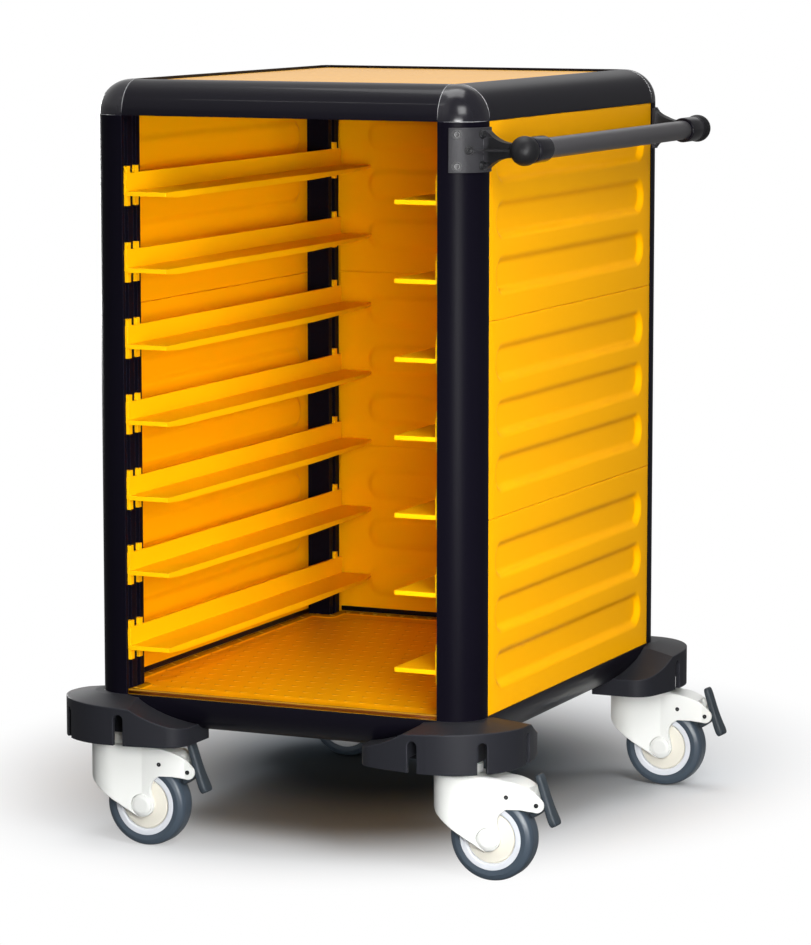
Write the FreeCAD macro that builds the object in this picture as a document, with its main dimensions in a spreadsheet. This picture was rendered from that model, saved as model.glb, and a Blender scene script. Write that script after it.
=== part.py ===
import FreeCAD, Part
import math
import os
import re
import Sketcher

# Enclosed meal tray cart: a rounded black frame of posts and rails, yellow wall tiles, seven
# levels of tray slides, a push handle on the right side and four braked swivel casters.
#
# Frame: +Z up, floor at z = 0, open front towards -Y, handle side towards +X, millimetres.
# The corner pieces are drawn once for the front left corner, with x and y measured inwards from
# the corner's outer planes, and mirrored to the other three. A caster is drawn about its stem
# axis, with its wheel trailing towards +X.

SIZES = {
    # carcass
    "carcass_width": (480.0, "outside width over the side rails"),
    "carcass_depth": (600.0, "outside depth over the front and rear rails"),
    "panel_bottom": (180.0, "top of the bottom frame above the floor"),
    "panel_zone": (670.0, "height between the bottom frame and the top frame"),
    "frame_height": (40.0, "height of a rail"),
    "post_size": (44.0, "side of a post, and width of a rail"),
    "edge_radius": (38.0, "rounding of every outer edge of the carcass"),
    # post section
    "post_core": (11.0, "radius of the hollow down a post"),
    "groove_width": (9.0, "width of a slide groove"),
    "groove_depth": (4.0, "depth of a slide groove"),
    "groove_outer": (9.5, "middle of the outer groove from the front face"),
    "groove_inner": (30.0, "middle of the inner groove from the front face"),
    "slot_inset": (4.0, "panel slot from the outer face"),
    "slot_width": (6.0, "width of a panel slot"),
    "slot_depth": (6.0, "depth of a panel slot"),
    # rail section
    "rail_core": (9.0, "radius of the hollow along a rail"),
    "rail_core_in": (26.0, "rail hollow from the outer face"),
    "rail_core_up": (17.0, "rail hollow above the frame's inner face"),
    "rebate": (4.0, "width and depth of the rebate that holds the top panel"),
    "spigot_gap": (0.2, "play of a spigot in its hollow, on the radius"),
    "spigot_length": (24.0, "how far a corner piece enters a post or rail"),
    # wall tiles
    "tile_rows": (3.0, "tiles above each other in a wall"),
    "tile_gap": (0.3, "play round a tile"),
    "face_recess": (1.0, "tile face behind the post's outer plane"),
    "side_thickness": (13.8, "thickness of a side tile"),
    "back_thickness": (8.1, "thickness of a back tile"),
    "tongue": (4.6, "length of a tile's tongue"),
    "tongue_inset": (4.3, "tongue from the post's outer plane"),
    "tongue_thickness": (4.4, "thickness of a tongue"),
    "back_tongue_inset": (5.4, "back tile's tongue from the carcass's rear plane"),
    "back_tongue_thickness": (3.6, "thickness of the back tile's tongue"),
    "back_tongue": (3.4, "length of the back tile's side tongues"),
    "rib_height": (41.0, "height of a pressed oblong"),
    "rib_pitch": (62.6, "distance between pressed oblongs"),
    "side_margin": (24.0, "side tile's edge to the end of an oblong"),
    "back_margin": (40.0, "back tile's edge to the end of an oblong"),
    "rib_draft": (45.0, "slope of the pressed sides, degrees"),
    "side_press": (6.0, "depth of the oblongs in a side tile"),
    "back_press": (3.5, "depth of the oblongs in a back tile"),
    "bulge": (3.5, "height of the oblongs on the inner face"),
    # tray slides
    "slide_pitch": (87.7, "height between two tray levels"),
    "slide_first": (53.2, "lowest shelf above the bottom frame"),
    "slide_wall": (24.5, "height of a slide's wall"),
    "slide_shelf": (53.5, "width of a slide, wall and shelf"),
    "slide_sheet": (3.5, "thickness of a slide"),
    "slide_front": (4.0, "slide's front end behind the front plane"),
    "slide_rear": (14.0, "slide's rear end before the rear plane"),
    "prong_width": (8.0, "width of a prong"),
    "prong_below": (13.0, "prong below the shelf"),
    "prong_above": (8.0, "prong above the wall"),
    "prong_depth": (3.0, "prong inside the post's groove"),
    "rear_cut": (8.0, "cut off the shelf's rear corner, across"),
    "rear_cut_length": (30.0, "cut off the shelf's rear corner, along"),
    "end_lip": (1.5, "lip under the shelf's front end"),
    "edge_lip": (3.8, "lip under the shelf's inner edge, at its deepest"),
    # floor tray
    "floor_gap": (0.4, "play round the floor tray"),
    "floor_height": (6.0, "height of the floor tray's rim"),
    "floor_rim": (3.0, "thickness of the rim and of the floor"),
    "floor_front": (3.0, "floor tray's front edge behind the front plane"),
    # corner bumpers, measured from the carcass's corner
    "bumper_bottom": (128.0, "underside of a bumper above the floor"),
    "bumper_peak": (180.0, "bumper's top at the post"),
    "bumper_arm": (130.0, "length of an arm from the corner"),
    "bumper_inner": (40.0, "bumper under the rail"),
    "bumper_sweep": (232.0, "radius of an arm's outer side, seen from above"),
    "bumper_tip": (27.0, "rounding of an arm's end, seen from above"),
    "bumper_bulge": (45.0, "bumper outside the carcass beside the corner"),
    "bumper_round": (83.0, "radius of the bumper's corner"),
    "bumper_wall": (5.0, "thickness of a bumper's wall"),
    "bumper_collar": (28.0, "radius of the flat round the post"),
    "bumper_foot": (200.0, "radius at which the cone of the top would end"),
    "bumper_fall": (31.0, "fall of the top's cone over that radius"),
    "arm_slope_start": (60.0, "where an arm's top begins to fall"),
    "arm_fall": (165.0, "radius of the hollow curve of that fall"),
    "arm_end_top": (149.0, "arm's top at its end, above the floor"),
    "bumper_slot": (12.0, "width of a slot in the bumper's wall"),
    "bumper_slot_at": (55.0, "side slots from the corner"),
    "bumper_slot_top": (158.0, "middle of a slot's round top"),
    "seat_gap": (0.1, "play between a bumper and the frame"),
    # casters, measured from the stem's axis
    "wheel_radius": (50.0, "radius of the wheel, and height of its axle"),
    "trail": (40.0, "axle behind the stem"),
    "rim_radius": (37.0, "outside of the wheel's core"),
    "axle_radius": (4.0, "radius of the axle"),
    "run_gap": (0.1, "running clearance on a radius"),
    "hub_half": (15.6, "half the hub's length"),
    "fork_top": (120.0, "top of the housing above the floor"),
    "fork_nose": (32.0, "radius of the housing round the stem"),
    "fork_half": (21.0, "half the housing's width at the axle"),
    "beak_sweep": (146.0, "radius of the beak's sides, seen from above"),
    "tip_half": (12.2, "half the housing's width at its tip"),
    "well_half": (16.2, "half the width of the wheel well"),
    "well_front": (18.0, "wheel well before the stem"),
    "slot_half": (9.3, "half the width of the pedal's slot in the beak"),
    "fork_round": (4.0, "rounding of the housing's upper edges"),
    "plate": (8.0, "thickness of the housing's top"),
    "boss_radius": (14.0, "round end of a cheek, about the axle"),
    "cover_radius": (12.5, "radius of an axle cover"),
    "cover_height": (3.5, "axle cover outside the cheek"),
    "pivot_out": (95.0, "brake pedal's pin behind the stem"),
    "pivot_up": (91.5, "brake pedal's pin above the floor"),
    "tip_radius": (8.5, "round tip of the housing, about that pin"),
    "pin_radius": (2.5, "radius of the pins through the housing"),
    "spring_pin_out": (61.5, "spring's pin behind the stem"),
    "spring_pin_up": (99.5, "spring's pin above the floor"),
    "pedal_half": (8.8, "half the pedal's width at its pin"),
    "toe_half": (11.5, "half the width of the pedal's toe"),
    "toe_reach": (119.0, "pedal's toe behind the stem"),
    "kingpin_radius": (6.0, "radius of the stem's rod"),
    "kingpin_top": (175.0, "top of the stem's rod above the floor"),
    "collar_radius": (24.0, "radius of the stem's collar"),
    "bearing_radius": (21.0, "radius of the swivel bearing ring"),
    "bearing_height": (1.7, "height of the swivel bearing ring"),
    "bearing_gap": (0.3, "bearing ring above the housing"),
    # push handle, measured from the front left corner, mirrored to the right
    "handle_out": (51.0, "tube's axis outside the carcass"),
    "handle_up": (819.0, "tube's axis above the floor"),
    "handle_in": (22.0, "ball's middle behind the front plane"),
    "ball_radius": (16.5, "radius of the ball end"),
    "ball_flat": (12.0, "flat of the ball, from its middle"),
    "ferrule_radius": (14.8, "radius of a ferrule"),
    "ferrule_length": (40.0, "length of a ferrule"),
    "tube_radius": (11.5, "outside radius of the tube"),
    "tube_bore": (9.5, "inside radius of the tube"),
    "tube_seat": (4.0, "closed end of a ferrule"),
    "saddle_height": (49.0, "height of the bracket's saddle"),
    "saddle_sheet": (3.0, "thickness of the saddle"),
    "saddle_gap": (0.15, "saddle off the post"),
    "saddle_side": (43.0, "saddle's rear edge from the corner"),
    "saddle_start": (12.0, "saddle's front edge round the post, degrees from the front"),
    "screw_head": (4.2, "radius of a screw head"),
    "screw_head_height": (2.4, "height of a screw head"),
    "screw_shank": (1.9, "radius of a screw's shank"),
    "screw_length": (10.0, "length of a screw's shank"),
    "screw_hole": (2.1, "radius of a screw hole"),
    "screw_spread": (17.5, "outer screws above and below the middle one"),
}

TRAY_LEVELS = 7
TILE_ROWS = int(SIZES["tile_rows"][0])
SCREW_ANGLES = (25.0, 70.0)
MIDDLE_SCREW_ANGLE = 45.0
CORNERS = {"front_left": "", "front_right": "x", "rear_left": "y", "rear_right": "xy"}

doc = FreeCAD.newDocument("meal_tray_cart")
sheet = doc.addObject("Spreadsheet::Sheet", "sizes")
nodes = []


# ---------------------------------------------------------------- sheet and expressions

def fill_sheet():
    """Write the driving dimensions, one row each: note, value, alias."""
    for row, (alias, (number, note)) in enumerate(SIZES.items(), start=1):
        sheet.set(f"A{row}", note)
        sheet.set(f"B{row}", str(number))
        sheet.setAlias(f"B{row}", alias)
    doc.recompute()


def link(text):
    """Turn the aliases in an expression into references to the sheet."""
    def refer(match):
        word = match.group(0)
        return f"sizes.{word}" if word in SIZES else word
    return re.sub(r"[a-z_]+", refer, str(text))


def value(text):
    """The number that an expression gives."""
    return float(sheet.evalExpression(link(text)))


def bind(thing, prop, text):
    """Drive a property by an expression on the sheet."""
    thing.setExpression(prop, link(text))


# ---------------------------------------------------------------- sketches

def new_body(name):
    return doc.addObject("PartDesign::Body", name)


def new_sketch(body, plane, right="0", up="0", out="0"):
    """A sketch on one of the body's origin planes, moved right, up and out in its own axes."""
    sketch = body.newObject("Sketcher::SketchObject", f"{body.Name}_sketch")
    support = next(item for item in body.Origin.OriginFeatures if item.Role == f"{plane}_Plane")
    sketch.AttachmentSupport = [(support, "")]
    sketch.MapMode = "FlatFace"
    for axis, text in zip("xyz", (right, up, out)):
        bind(sketch, f"AttachmentOffset.Base.{axis}", text)
    return sketch


def pin_point(sketch, geometry, position, x, y):
    """Fix one point of a sketch element at two expressions."""
    for kind, text in (("DistanceX", x), ("DistanceY", y)):
        rule = Sketcher.Constraint(kind, geometry, position, value(text))
        index = sketch.addConstraint(rule)
        bind(sketch, f"Constraints[{index}]", text)


def arc_between(start, end, radius, side):
    """The short arc from start to end with its centre on the given side (+1 left, -1 right)."""
    chord = end - start
    middle = (start + end) * 0.5
    rise = math.sqrt(max(radius ** 2 - (chord.Length / 2) ** 2, 0.0))
    normal = FreeCAD.Vector(-chord.y, chord.x, 0).normalize() * side
    centre = middle + normal * rise
    first, last = (start, end) if side > 0 else (end, start)
    angle_first = math.atan2(first.y - centre.y, first.x - centre.x)
    angle_last = math.atan2(last.y - centre.y, last.x - centre.x)
    if angle_last < angle_first:
        angle_last += 2 * math.pi
    circle = Part.Circle(centre, FreeCAD.Vector(0, 0, 1), radius)
    return Part.ArcOfCircle(circle, angle_first, angle_last)


def outline(sketch, corners):
    """Draw a closed outline through corners (x, y).

    A corner (x, y, radius, side) is left by an arc with its centre to the left (+1) or the
    right (-1) of the way. Every corner and radius is bound to the sheet; a half circle, whose
    radius its ends already give, has its centre level with them instead.
    """
    points = [FreeCAD.Vector(value(c[0]), value(c[1]), 0) for c in corners]
    begins, ends = [], []
    for index, corner in enumerate(corners):
        start, end = points[index], points[(index + 1) % len(points)]
        if len(corner) == 2:
            element = sketch.addGeometry(Part.LineSegment(start, end))
            begins.append((element, 1))
            ends.append((element, 2))
            continue
        radius, side = corner[2:]
        element = sketch.addGeometry(arc_between(start, end, value(radius), side))
        begins.append((element, 1 if side > 0 else 2))
        ends.append((element, 2 if side > 0 else 1))
        if value(radius) > (end - start).Length / 2 + 1e-6:
            rule = sketch.addConstraint(Sketcher.Constraint("Radius", element, value(radius)))
            bind(sketch, f"Constraints[{rule}]", radius)
        else:
            level = abs(end.y - start.y) < abs(end.x - start.x)
            kind = "Horizontal" if level else "Vertical"
            sketch.addConstraint(Sketcher.Constraint(kind, element, 3, element, 1))
    for index, corner in enumerate(corners):
        following = begins[(index + 1) % len(begins)]
        sketch.addConstraint(Sketcher.Constraint("Coincident", *ends[index], *following))
        pin_point(sketch, *begins[index], corner[0], corner[1])


def rectangle(sketch, left, bottom, right, top):
    outline(sketch, [(left, bottom), (right, bottom), (right, top), (left, top)])


def circle(sketch, x, y, radius):
    centre = FreeCAD.Vector(value(x), value(y), 0)
    element = sketch.addGeometry(Part.Circle(centre, FreeCAD.Vector(0, 0, 1), value(radius)))
    rule = sketch.addConstraint(Sketcher.Constraint("Radius", element, value(radius)))
    bind(sketch, f"Constraints[{rule}]", radius)
    pin_point(sketch, element, 3, x, y)


def oblong(sketch, x, y, length, height):
    """A slot shape centred on (x, y), with half-round ends."""
    straight = f"({length} - {height}) / 2"
    half = f"({height}) / 2"
    outline(sketch, [
        (f"{x} - {straight}", f"{y} - {half}"),
        (f"{x} + {straight}", f"{y} - {half}", half, 1),
        (f"{x} + {straight}", f"{y} + {half}"),
        (f"{x} - {straight}", f"{y} + {half}", half, 1),
    ])


# ---------------------------------------------------------------- features

def extrude(body, kind, sketch, length, away=False, middle=False, draft=None):
    """A Pad or Pocket; away turns it against the sketch's own direction."""
    feature = body.newObject(f"PartDesign::{kind}", f"{body.Name}_{kind.lower()}")
    feature.Profile = sketch
    bind(feature, "Length", length)
    feature.Reversed = away
    if middle:
        feature.SideType = "Symmetric"
    if draft is not None:
        bind(feature, "TaperAngle", draft)
    return feature


def pad(body, sketch, length, **options):
    return extrude(body, "Pad", sketch, length, **options)


def pocket(body, sketch, length, **options):
    """Cut a sketch out of the body, and make sure that it removes material."""
    doc.recompute()
    before = body.Shape.Volume
    feature = extrude(body, "Pocket", sketch, length, **options)
    doc.recompute()
    if body.Shape.Volume >= before - 1e-3:
        raise RuntimeError(f"{feature.Name} cuts nothing")
    return feature


def spin(body, sketch, axis="H_Axis", kind="Revolution"):
    """Turn a sketch about one of its own axes."""
    feature = body.newObject(f"PartDesign::{kind}", f"{body.Name}_{kind.lower()}")
    feature.Profile = sketch
    feature.ReferenceAxis = (sketch, [axis])
    feature.Angle = 360
    return feature


def round_edges(body, radius, test):
    """Fillet the edges of the body's last feature that pass a test."""
    doc.recompute()
    base = body.Tip
    names = [f"Edge{i}" for i, edge in enumerate(base.Shape.Edges, start=1) if test(edge)]
    if not names:
        raise RuntimeError(f"no edge of {body.Name} to round")
    feature = body.newObject("PartDesign::Fillet", f"{body.Name}_fillet")
    feature.Base = (base, names)
    bind(feature, "Radius", radius)
    return feature


def through(edge, x=None, y=None, z=None, tol=0.01):
    """Whether an edge lies wholly in the planes x, y, z that are given."""
    box = edge.BoundBox
    spans = ((x, box.XMin, box.XMax), (y, box.YMin, box.YMax), (z, box.ZMin, box.ZMax))
    wanted = [(w, low, high) for w, low, high in spans if w is not None]
    return all(abs(low - w) < tol and abs(high - w) < tol for w, low, high in wanted)


# ---------------------------------------------------------------- placing and naming

def placed(source, x="0", y="0", z="0", mirror="", turn=0.0):
    """A copy of a shape: mirrored about planes through its origin, turned, then moved."""
    copy = source
    for axis in mirror:
        flipped = doc.addObject("Part::Mirroring", f"{source.Name}_flip")
        flipped.Source = copy
        flipped.Normal = FreeCAD.Vector(axis == "x", axis == "y", axis == "z")
        copy = flipped
    moved = doc.addObject("Part::Compound", f"{source.Name}_place")
    moved.Links = [copy]
    moved.Placement.Rotation = FreeCAD.Rotation(FreeCAD.Vector(0, 0, 1), turn)
    for axis, text in zip("xyz", (x, y, z)):
        bind(moved, f"Placement.Base.{axis}", text)
    return moved


def at_corner(source, corner, z="0"):
    """Put a piece drawn for the front left corner into the named corner."""
    mirror = CORNERS[corner]
    x = "carcass_width / 2" if "x" in mirror else "-carcass_width / 2"
    y = "carcass_depth / 2" if "y" in mirror else "-carcass_depth / 2"
    return placed(source, x, y, z, mirror)


def node(label, parts):
    """Name a finished sub-part, and shift it so that the whole cart is centred in x."""
    piece = doc.addObject("Part::Compound", label)
    piece.Label = label
    piece.Links = parts
    bind(piece, "Placement.Base.x", "-(toe_reach - post_size / 2 - bumper_bulge) / 2")
    nodes.append(piece)


def boolean(kind, name, base, tool):
    result = doc.addObject(f"Part::{kind}", name)
    result.Base = base
    result.Tool = tool
    return result


# ---------------------------------------------------------------- frame

def post_body():
    """Extruded post: round outer corner, two slide grooves, one panel slot, a hollow core."""
    body = new_body("post")
    section = new_sketch(body, "XY", out="panel_bottom")
    corners = [("edge_radius", "0"), ("post_size", "0")]
    for middle in ("groove_outer", "groove_inner"):
        low, high = f"{middle} - groove_width / 2", f"{middle} + groove_width / 2"
        corners += [("post_size", low), ("post_size - groove_depth", low)]
        corners += [("post_size - groove_depth", high), ("post_size", high)]
    slot_end = "slot_inset + slot_width"
    corners += [
        ("post_size", "post_size"),
        (slot_end, "post_size"), (slot_end, "post_size - slot_depth"),
        ("slot_inset", "post_size - slot_depth"), ("slot_inset", "post_size"),
        ("0", "post_size"), ("0", "edge_radius", "edge_radius", 1),
    ]
    outline(section, corners)
    circle(section, "post_size / 2", "post_size / 2", "post_core")
    pad(body, section, "panel_zone")
    return body


def rail_body(name, plane, length):
    """Extruded rail: quarter-round outside, panel slot below, rebate for the top panel."""
    body = new_body(name)
    out = "post_size" if plane == "YZ" else "-post_size"
    section = new_sketch(body, plane, out=out)
    slot_end, floor = "slot_inset + slot_width", "frame_height - rebate"
    outline(section, [
        ("0", "0"), ("slot_inset", "0"), ("slot_inset", "slot_depth"),
        (slot_end, "slot_depth"), (slot_end, "0"), ("post_size", "0"),
        ("post_size", floor), ("post_size - rebate", floor),
        ("post_size - rebate", "frame_height"),
        ("edge_radius", "frame_height", "edge_radius", 1),
        ("0", "frame_height - edge_radius"),
    ])
    circle(section, "rail_core_in", "rail_core_up", "rail_core")
    pad(body, section, length, away=plane == "XZ")
    return body


def corner_body(name, bored):
    """Ball-cornered casting with a spigot into the post and one into each rail."""
    body = new_body(name)
    base = new_sketch(body, "XY")
    rectangle(base, "0", "0", "post_size", "post_size")
    pad(body, base, "frame_height")
    top = value("frame_height")
    round_edges(body, "edge_radius", lambda e: through(e, x=0, y=0)
                or through(e, x=0, z=top) or through(e, y=0, z=top))
    seat = new_sketch(body, "XY", out="frame_height - rebate")
    rectangle(seat, "post_size - rebate", "post_size - rebate", "post_size", "post_size")
    pocket(body, seat, "rebate", away=True)
    down = new_sketch(body, "XY")
    circle(down, "post_size / 2", "post_size / 2", "post_core - spigot_gap")
    pad(body, down, "spigot_length", away=True)
    for plane in ("YZ", "XZ"):
        out = "post_size" if plane == "YZ" else "-post_size"
        side = new_sketch(body, plane, out=out)
        circle(side, "rail_core_in", "rail_core_up", "rail_core - spigot_gap")
        pad(body, side, "spigot_length", away=plane == "XZ")
    if bored:
        boss = new_sketch(body, "XY", out="frame_height")
        circle(boss, "post_size / 2", "post_size / 2", "post_size / 2 - 2")
        pad(body, boss, "frame_height / 2", away=True)
        bore = new_sketch(body, "XY", out="frame_height")
        circle(bore, "post_size / 2", "post_size / 2", "kingpin_radius + spigot_gap")
        pocket(body, bore, "frame_height + spigot_length")
    return body


def build_frame():
    """Rails and corner pieces; the bottom frame is the top frame turned over."""
    rail_x = rail_body("rail_x", "YZ", "carcass_width - 2 * post_size")
    rail_y = rail_body("rail_y", "XZ", "carcass_depth - 2 * post_size")
    levels = (("top", "panel_bottom + panel_zone", ""), ("bottom", "panel_bottom", "z"))
    sides = (("front", rail_x, ""), ("rear", rail_x, "y"), ("left", rail_y, ""),
             ("right", rail_y, "x"))
    for level, height, flip in levels:
        for side, rail, mirror in sides:
            x = "carcass_width / 2" if mirror == "x" else "-carcass_width / 2"
            y = "carcass_depth / 2" if mirror == "y" else "-carcass_depth / 2"
            node(f"{level}_rail_{side}", [placed(rail, x, y, height, mirror + flip)])
        piece = corner_body(f"corner_{level}", bored=level == "bottom")
        flipped = placed(piece, mirror=flip)
        name = "top_corner_caps" if level == "top" else "bottom_corner_blocks"
        node(name, [at_corner(flipped, corner, height) for corner in CORNERS])


def build_posts(drills):
    """Four posts; those on the handle's side are drilled for its screws."""
    post = post_body()
    for corner, mirror in CORNERS.items():
        piece = at_corner(post, corner)
        if "x" in mirror:
            drill = at_corner(drills, corner)
            piece = boolean("Cut", f"drilled_{corner}", piece, drill)
        node(f"post_{corner}", [piece])


# ---------------------------------------------------------------- walls, top and floor

def tile_body(name, length, thickness, margin, press, inset, tongue_thickness, tongue):
    """Wall tile lying in the plane x = face_recess, its length along y.

    Three oblongs are pressed into its outer face and stand proud inside. It has a tongue at
    each end and on top, and a groove below that takes the tongue of the tile under it.
    """
    body = new_body(name)
    height = "(panel_zone / tile_rows - tile_gap)"
    length = f"({length} - 2 * tile_gap)"
    inner = f"face_recess + {thickness}"
    face = new_sketch(body, "YZ", out="face_recess")
    rectangle(face, "0", "0", length, height)
    pad(body, face, thickness)
    web = new_sketch(body, "YZ", out=inset)
    outline(web, [
        (f"-{tongue}", "0"), (f"{length} + {tongue}", "0"),
        (f"{length} + {tongue}", height), (length, height),
        (length, f"{height} + tongue"), ("0", f"{height} + tongue"),
        ("0", height), (f"-{tongue}", height),
    ])
    pad(body, web, tongue_thickness)
    middle = f"{length} / 2"
    rows = [f"{height} / 2 + rib_pitch * {step}" for step in (-1, 0, 1)]
    pressed = new_sketch(body, "YZ", out="face_recess")
    raised = new_sketch(body, "YZ", out=inner)
    for row in rows:
        oblong(pressed, middle, row, f"({length} - 2 * {margin})", "rib_height")
        oblong(raised, middle, row, f"({length} - 2 * {margin})", "rib_height")
    pad(body, raised, "bulge", draft="-rib_draft")
    pocket(body, pressed, press, away=True, draft="-rib_draft")
    groove = new_sketch(body, "XY")
    clearance = "tile_gap / 2"
    rectangle(groove, f"{inset} - {clearance}", f"-{tongue} - 1",
              f"{inset} + {tongue_thickness} + {clearance}", f"{length} + {tongue} + 1")
    pocket(body, groove, "tongue + tile_gap", away=True)
    return body


def build_walls():
    """Three tiles above each other in the left, right and back walls."""
    side = tile_body("side_tile", "(carcass_depth - 2 * post_size)", "side_thickness",
                     "side_margin", "side_press", "tongue_inset", "tongue_thickness", "tongue")
    back = tile_body("back_tile", "(carcass_width - 2 * post_size)", "back_thickness",
                     "back_margin", "back_press", "back_tongue_inset", "back_tongue_thickness",
                     "back_tongue")
    edge = "post_size + tile_gap"
    names = ("lower", "middle", "upper")
    for row in range(TILE_ROWS):
        height = f"panel_bottom + tile_gap / 2 + {row} * panel_zone / tile_rows"
        y = f"-carcass_depth / 2 + {edge}"
        node(f"left_wall_{names[row]}", [placed(side, "-carcass_width / 2", y, height)])
        node(f"right_wall_{names[row]}", [placed(side, "carcass_width / 2", y, height, "x")])
        x = f"-carcass_width / 2 + {edge}"
        turned = placed(back, x, "carcass_depth / 2", height, turn=-90.0)
        node(f"back_wall_{names[row]}", [turned])


def build_top_panel():
    body = new_body("top_sheet")
    sheet_plan = new_sketch(body, "XY", out="panel_bottom + panel_zone + frame_height - rebate")
    half_x = "carcass_width / 2 - post_size + rebate - tile_gap"
    half_y = "carcass_depth / 2 - post_size + rebate - tile_gap"
    rectangle(sheet_plan, f"-({half_x})", f"-({half_y})", half_x, half_y)
    pad(body, sheet_plan, "rebate - 0.5")
    node("top_panel", [body])


def floor_outline(sketch, shrink):
    """Plan of the floor tray: a rectangle between the walls, notched round the four posts."""
    side = f"(carcass_width / 2 - face_recess - side_thickness - floor_gap - {shrink})"
    notch = f"(carcass_width / 2 - post_size - floor_gap - {shrink})"
    front = f"(-carcass_depth / 2 + floor_front + {shrink})"
    front_notch = f"(-carcass_depth / 2 + post_size + floor_gap + {shrink})"
    rear = f"(carcass_depth / 2 - face_recess - back_thickness - floor_gap - {shrink})"
    rear_notch = f"(carcass_depth / 2 - post_size - floor_gap - {shrink})"
    outline(sketch, [
        (f"-{notch}", front), (notch, front), (notch, front_notch), (side, front_notch),
        (side, rear_notch), (notch, rear_notch), (notch, rear), (f"-{notch}", rear),
        (f"-{notch}", rear_notch), (f"-{side}", rear_notch), (f"-{side}", front_notch),
        (f"-{notch}", front_notch),
    ])


def build_floor():
    """Floor tray with a low rim all round."""
    body = new_body("floor_sheet")
    plan = new_sketch(body, "XY", out="panel_bottom")
    floor_outline(plan, "0")
    pad(body, plan, "floor_height")
    dish = new_sketch(body, "XY", out="panel_bottom + floor_height")
    floor_outline(dish, "floor_rim")
    pocket(body, dish, "floor_height - floor_rim")
    node("floor_tray", [body])


# ---------------------------------------------------------------- tray slides

def slide_body():
    """Left tray slide: an L with lips under its shelf and prongs that hook into the posts."""
    body = new_body("slide")
    wall_in = "post_size + slide_sheet"
    shelf_in = "post_size + slide_shelf"
    rear = "carcass_depth - slide_rear"
    section = new_sketch(body, "XZ", out="-slide_front")
    outline(section, [
        ("post_size", "0"), (shelf_in, "0"), (shelf_in, "slide_sheet"),
        (wall_in, "slide_sheet"), (wall_in, "slide_wall"), ("post_size", "slide_wall"),
    ])
    pad(body, section, f"{rear} - slide_front", away=True)
    front_lip = new_sketch(body, "XY")
    rectangle(front_lip, wall_in, "slide_front", shelf_in, "slide_front + slide_sheet")
    pad(body, front_lip, "end_lip", away=True)
    edge_lip = new_sketch(body, "YZ", out=shelf_in)
    outline(edge_lip, [
        ("slide_front", "0"), ("slide_front", "-end_lip"), ("slide_front + 32", "-edge_lip"),
        ("carcass_depth * 0.66", "-edge_lip"), (f"{rear} - rear_cut_length", "0"),
    ])
    pad(body, edge_lip, "slide_sheet", away=True)
    cut = new_sketch(body, "XY", out="-edge_lip")
    outline(cut, [
        (f"{shelf_in} - rear_cut", rear), (shelf_in, f"{rear} - rear_cut_length"),
        (f"{shelf_in} + 1", f"{rear} - rear_cut_length"), (f"{shelf_in} + 1", f"{rear} + 1"),
        (f"{shelf_in} - rear_cut", f"{rear} + 1"),
    ])
    pocket(body, cut, "slide_sheet + edge_lip", away=True)
    prongs = new_sketch(body, "XY", out="-prong_below")
    for middle in ("groove_outer", "groove_inner", "carcass_depth - groove_inner"):
        rectangle(prongs, "post_size - prong_depth", f"{middle} - prong_width / 2",
                  wall_in, f"{middle} + prong_width / 2")
    pad(body, prongs, "prong_below + slide_wall + prong_above")
    return body


def build_slides():
    """A left and a right slide at each of the seven levels, counted from the floor."""
    slide = slide_body()
    for level in range(TRAY_LEVELS):
        height = f"panel_bottom + slide_first + {level} * slide_pitch"
        pair = [at_corner(slide, corner, height) for corner in ("front_left", "front_right")]
        node(f"tray_slides_level_{level + 1}", pair)


# ---------------------------------------------------------------- corner bumpers

def bumper_outline(sketch, inset):
    """Plan of a bumper: an L whose outer side is five tangent arcs; inset draws it smaller."""
    end, inner = f"bumper_arm - {inset}", f"bumper_inner - {inset}"
    bulge = f"(-bumper_bulge + {inset})"
    middle = "(bumper_round - bumper_bulge)"
    tip = f"(bumper_tip - {inset})"
    sweep = f"(bumper_sweep - {inset})"
    along = f"({end} - {tip} - {middle})"
    down = f"sqrt(({sweep} - {tip}) ^ 2 - {along} ^ 2)"
    grow = f"{sweep} / ({sweep} - {tip})"
    level = f"{bulge} + {sweep} - {down}"
    touch_along, touch_out = f"{middle} + {along} * {grow}", f"{bulge} + {sweep} - {down} * {grow}"
    outline(sketch, [
        (end, inner), (inner, inner), (inner, end),
        (level, end, tip, 1), (touch_out, touch_along, sweep, 1),
        (bulge, middle, f"bumper_round - {inset}", 1),
        (middle, bulge, sweep, 1), (touch_along, touch_out, tip, 1),
        (end, level),
    ])


def bumper_shell():
    """Outside of a bumper: a conical top that falls away along both arms."""
    body = new_body("bumper_shell")
    plan = new_sketch(body, "XY", out="bumper_bottom")
    bumper_outline(plan, "0")
    pad(body, plan, "bumper_peak - bumper_bottom + 2")
    half = "post_size / 2"
    cone = new_sketch(body, "XZ", right=half, out=f"-{half}")
    above = "bumper_peak + 10"
    outline(cone, [
        ("0", "bumper_peak"), ("bumper_collar", "bumper_peak"),
        ("bumper_foot", "bumper_peak - bumper_fall"), ("bumper_foot", above), ("0", above),
    ])
    spin(body, cone, "V_Axis", "Groove")
    for plane, away in (("XZ", False), ("YZ", False)):
        fall = new_sketch(body, plane)
        beyond = "bumper_arm + 10"
        outline(fall, [
            ("arm_slope_start", "bumper_peak - 4", "arm_fall", 1), ("bumper_arm", "arm_end_top"),
            (beyond, "arm_end_top"), (beyond, above), ("arm_slope_start", above),
        ])
        pocket(body, fall, "4 * bumper_arm", middle=True, away=away)
    return body


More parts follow.
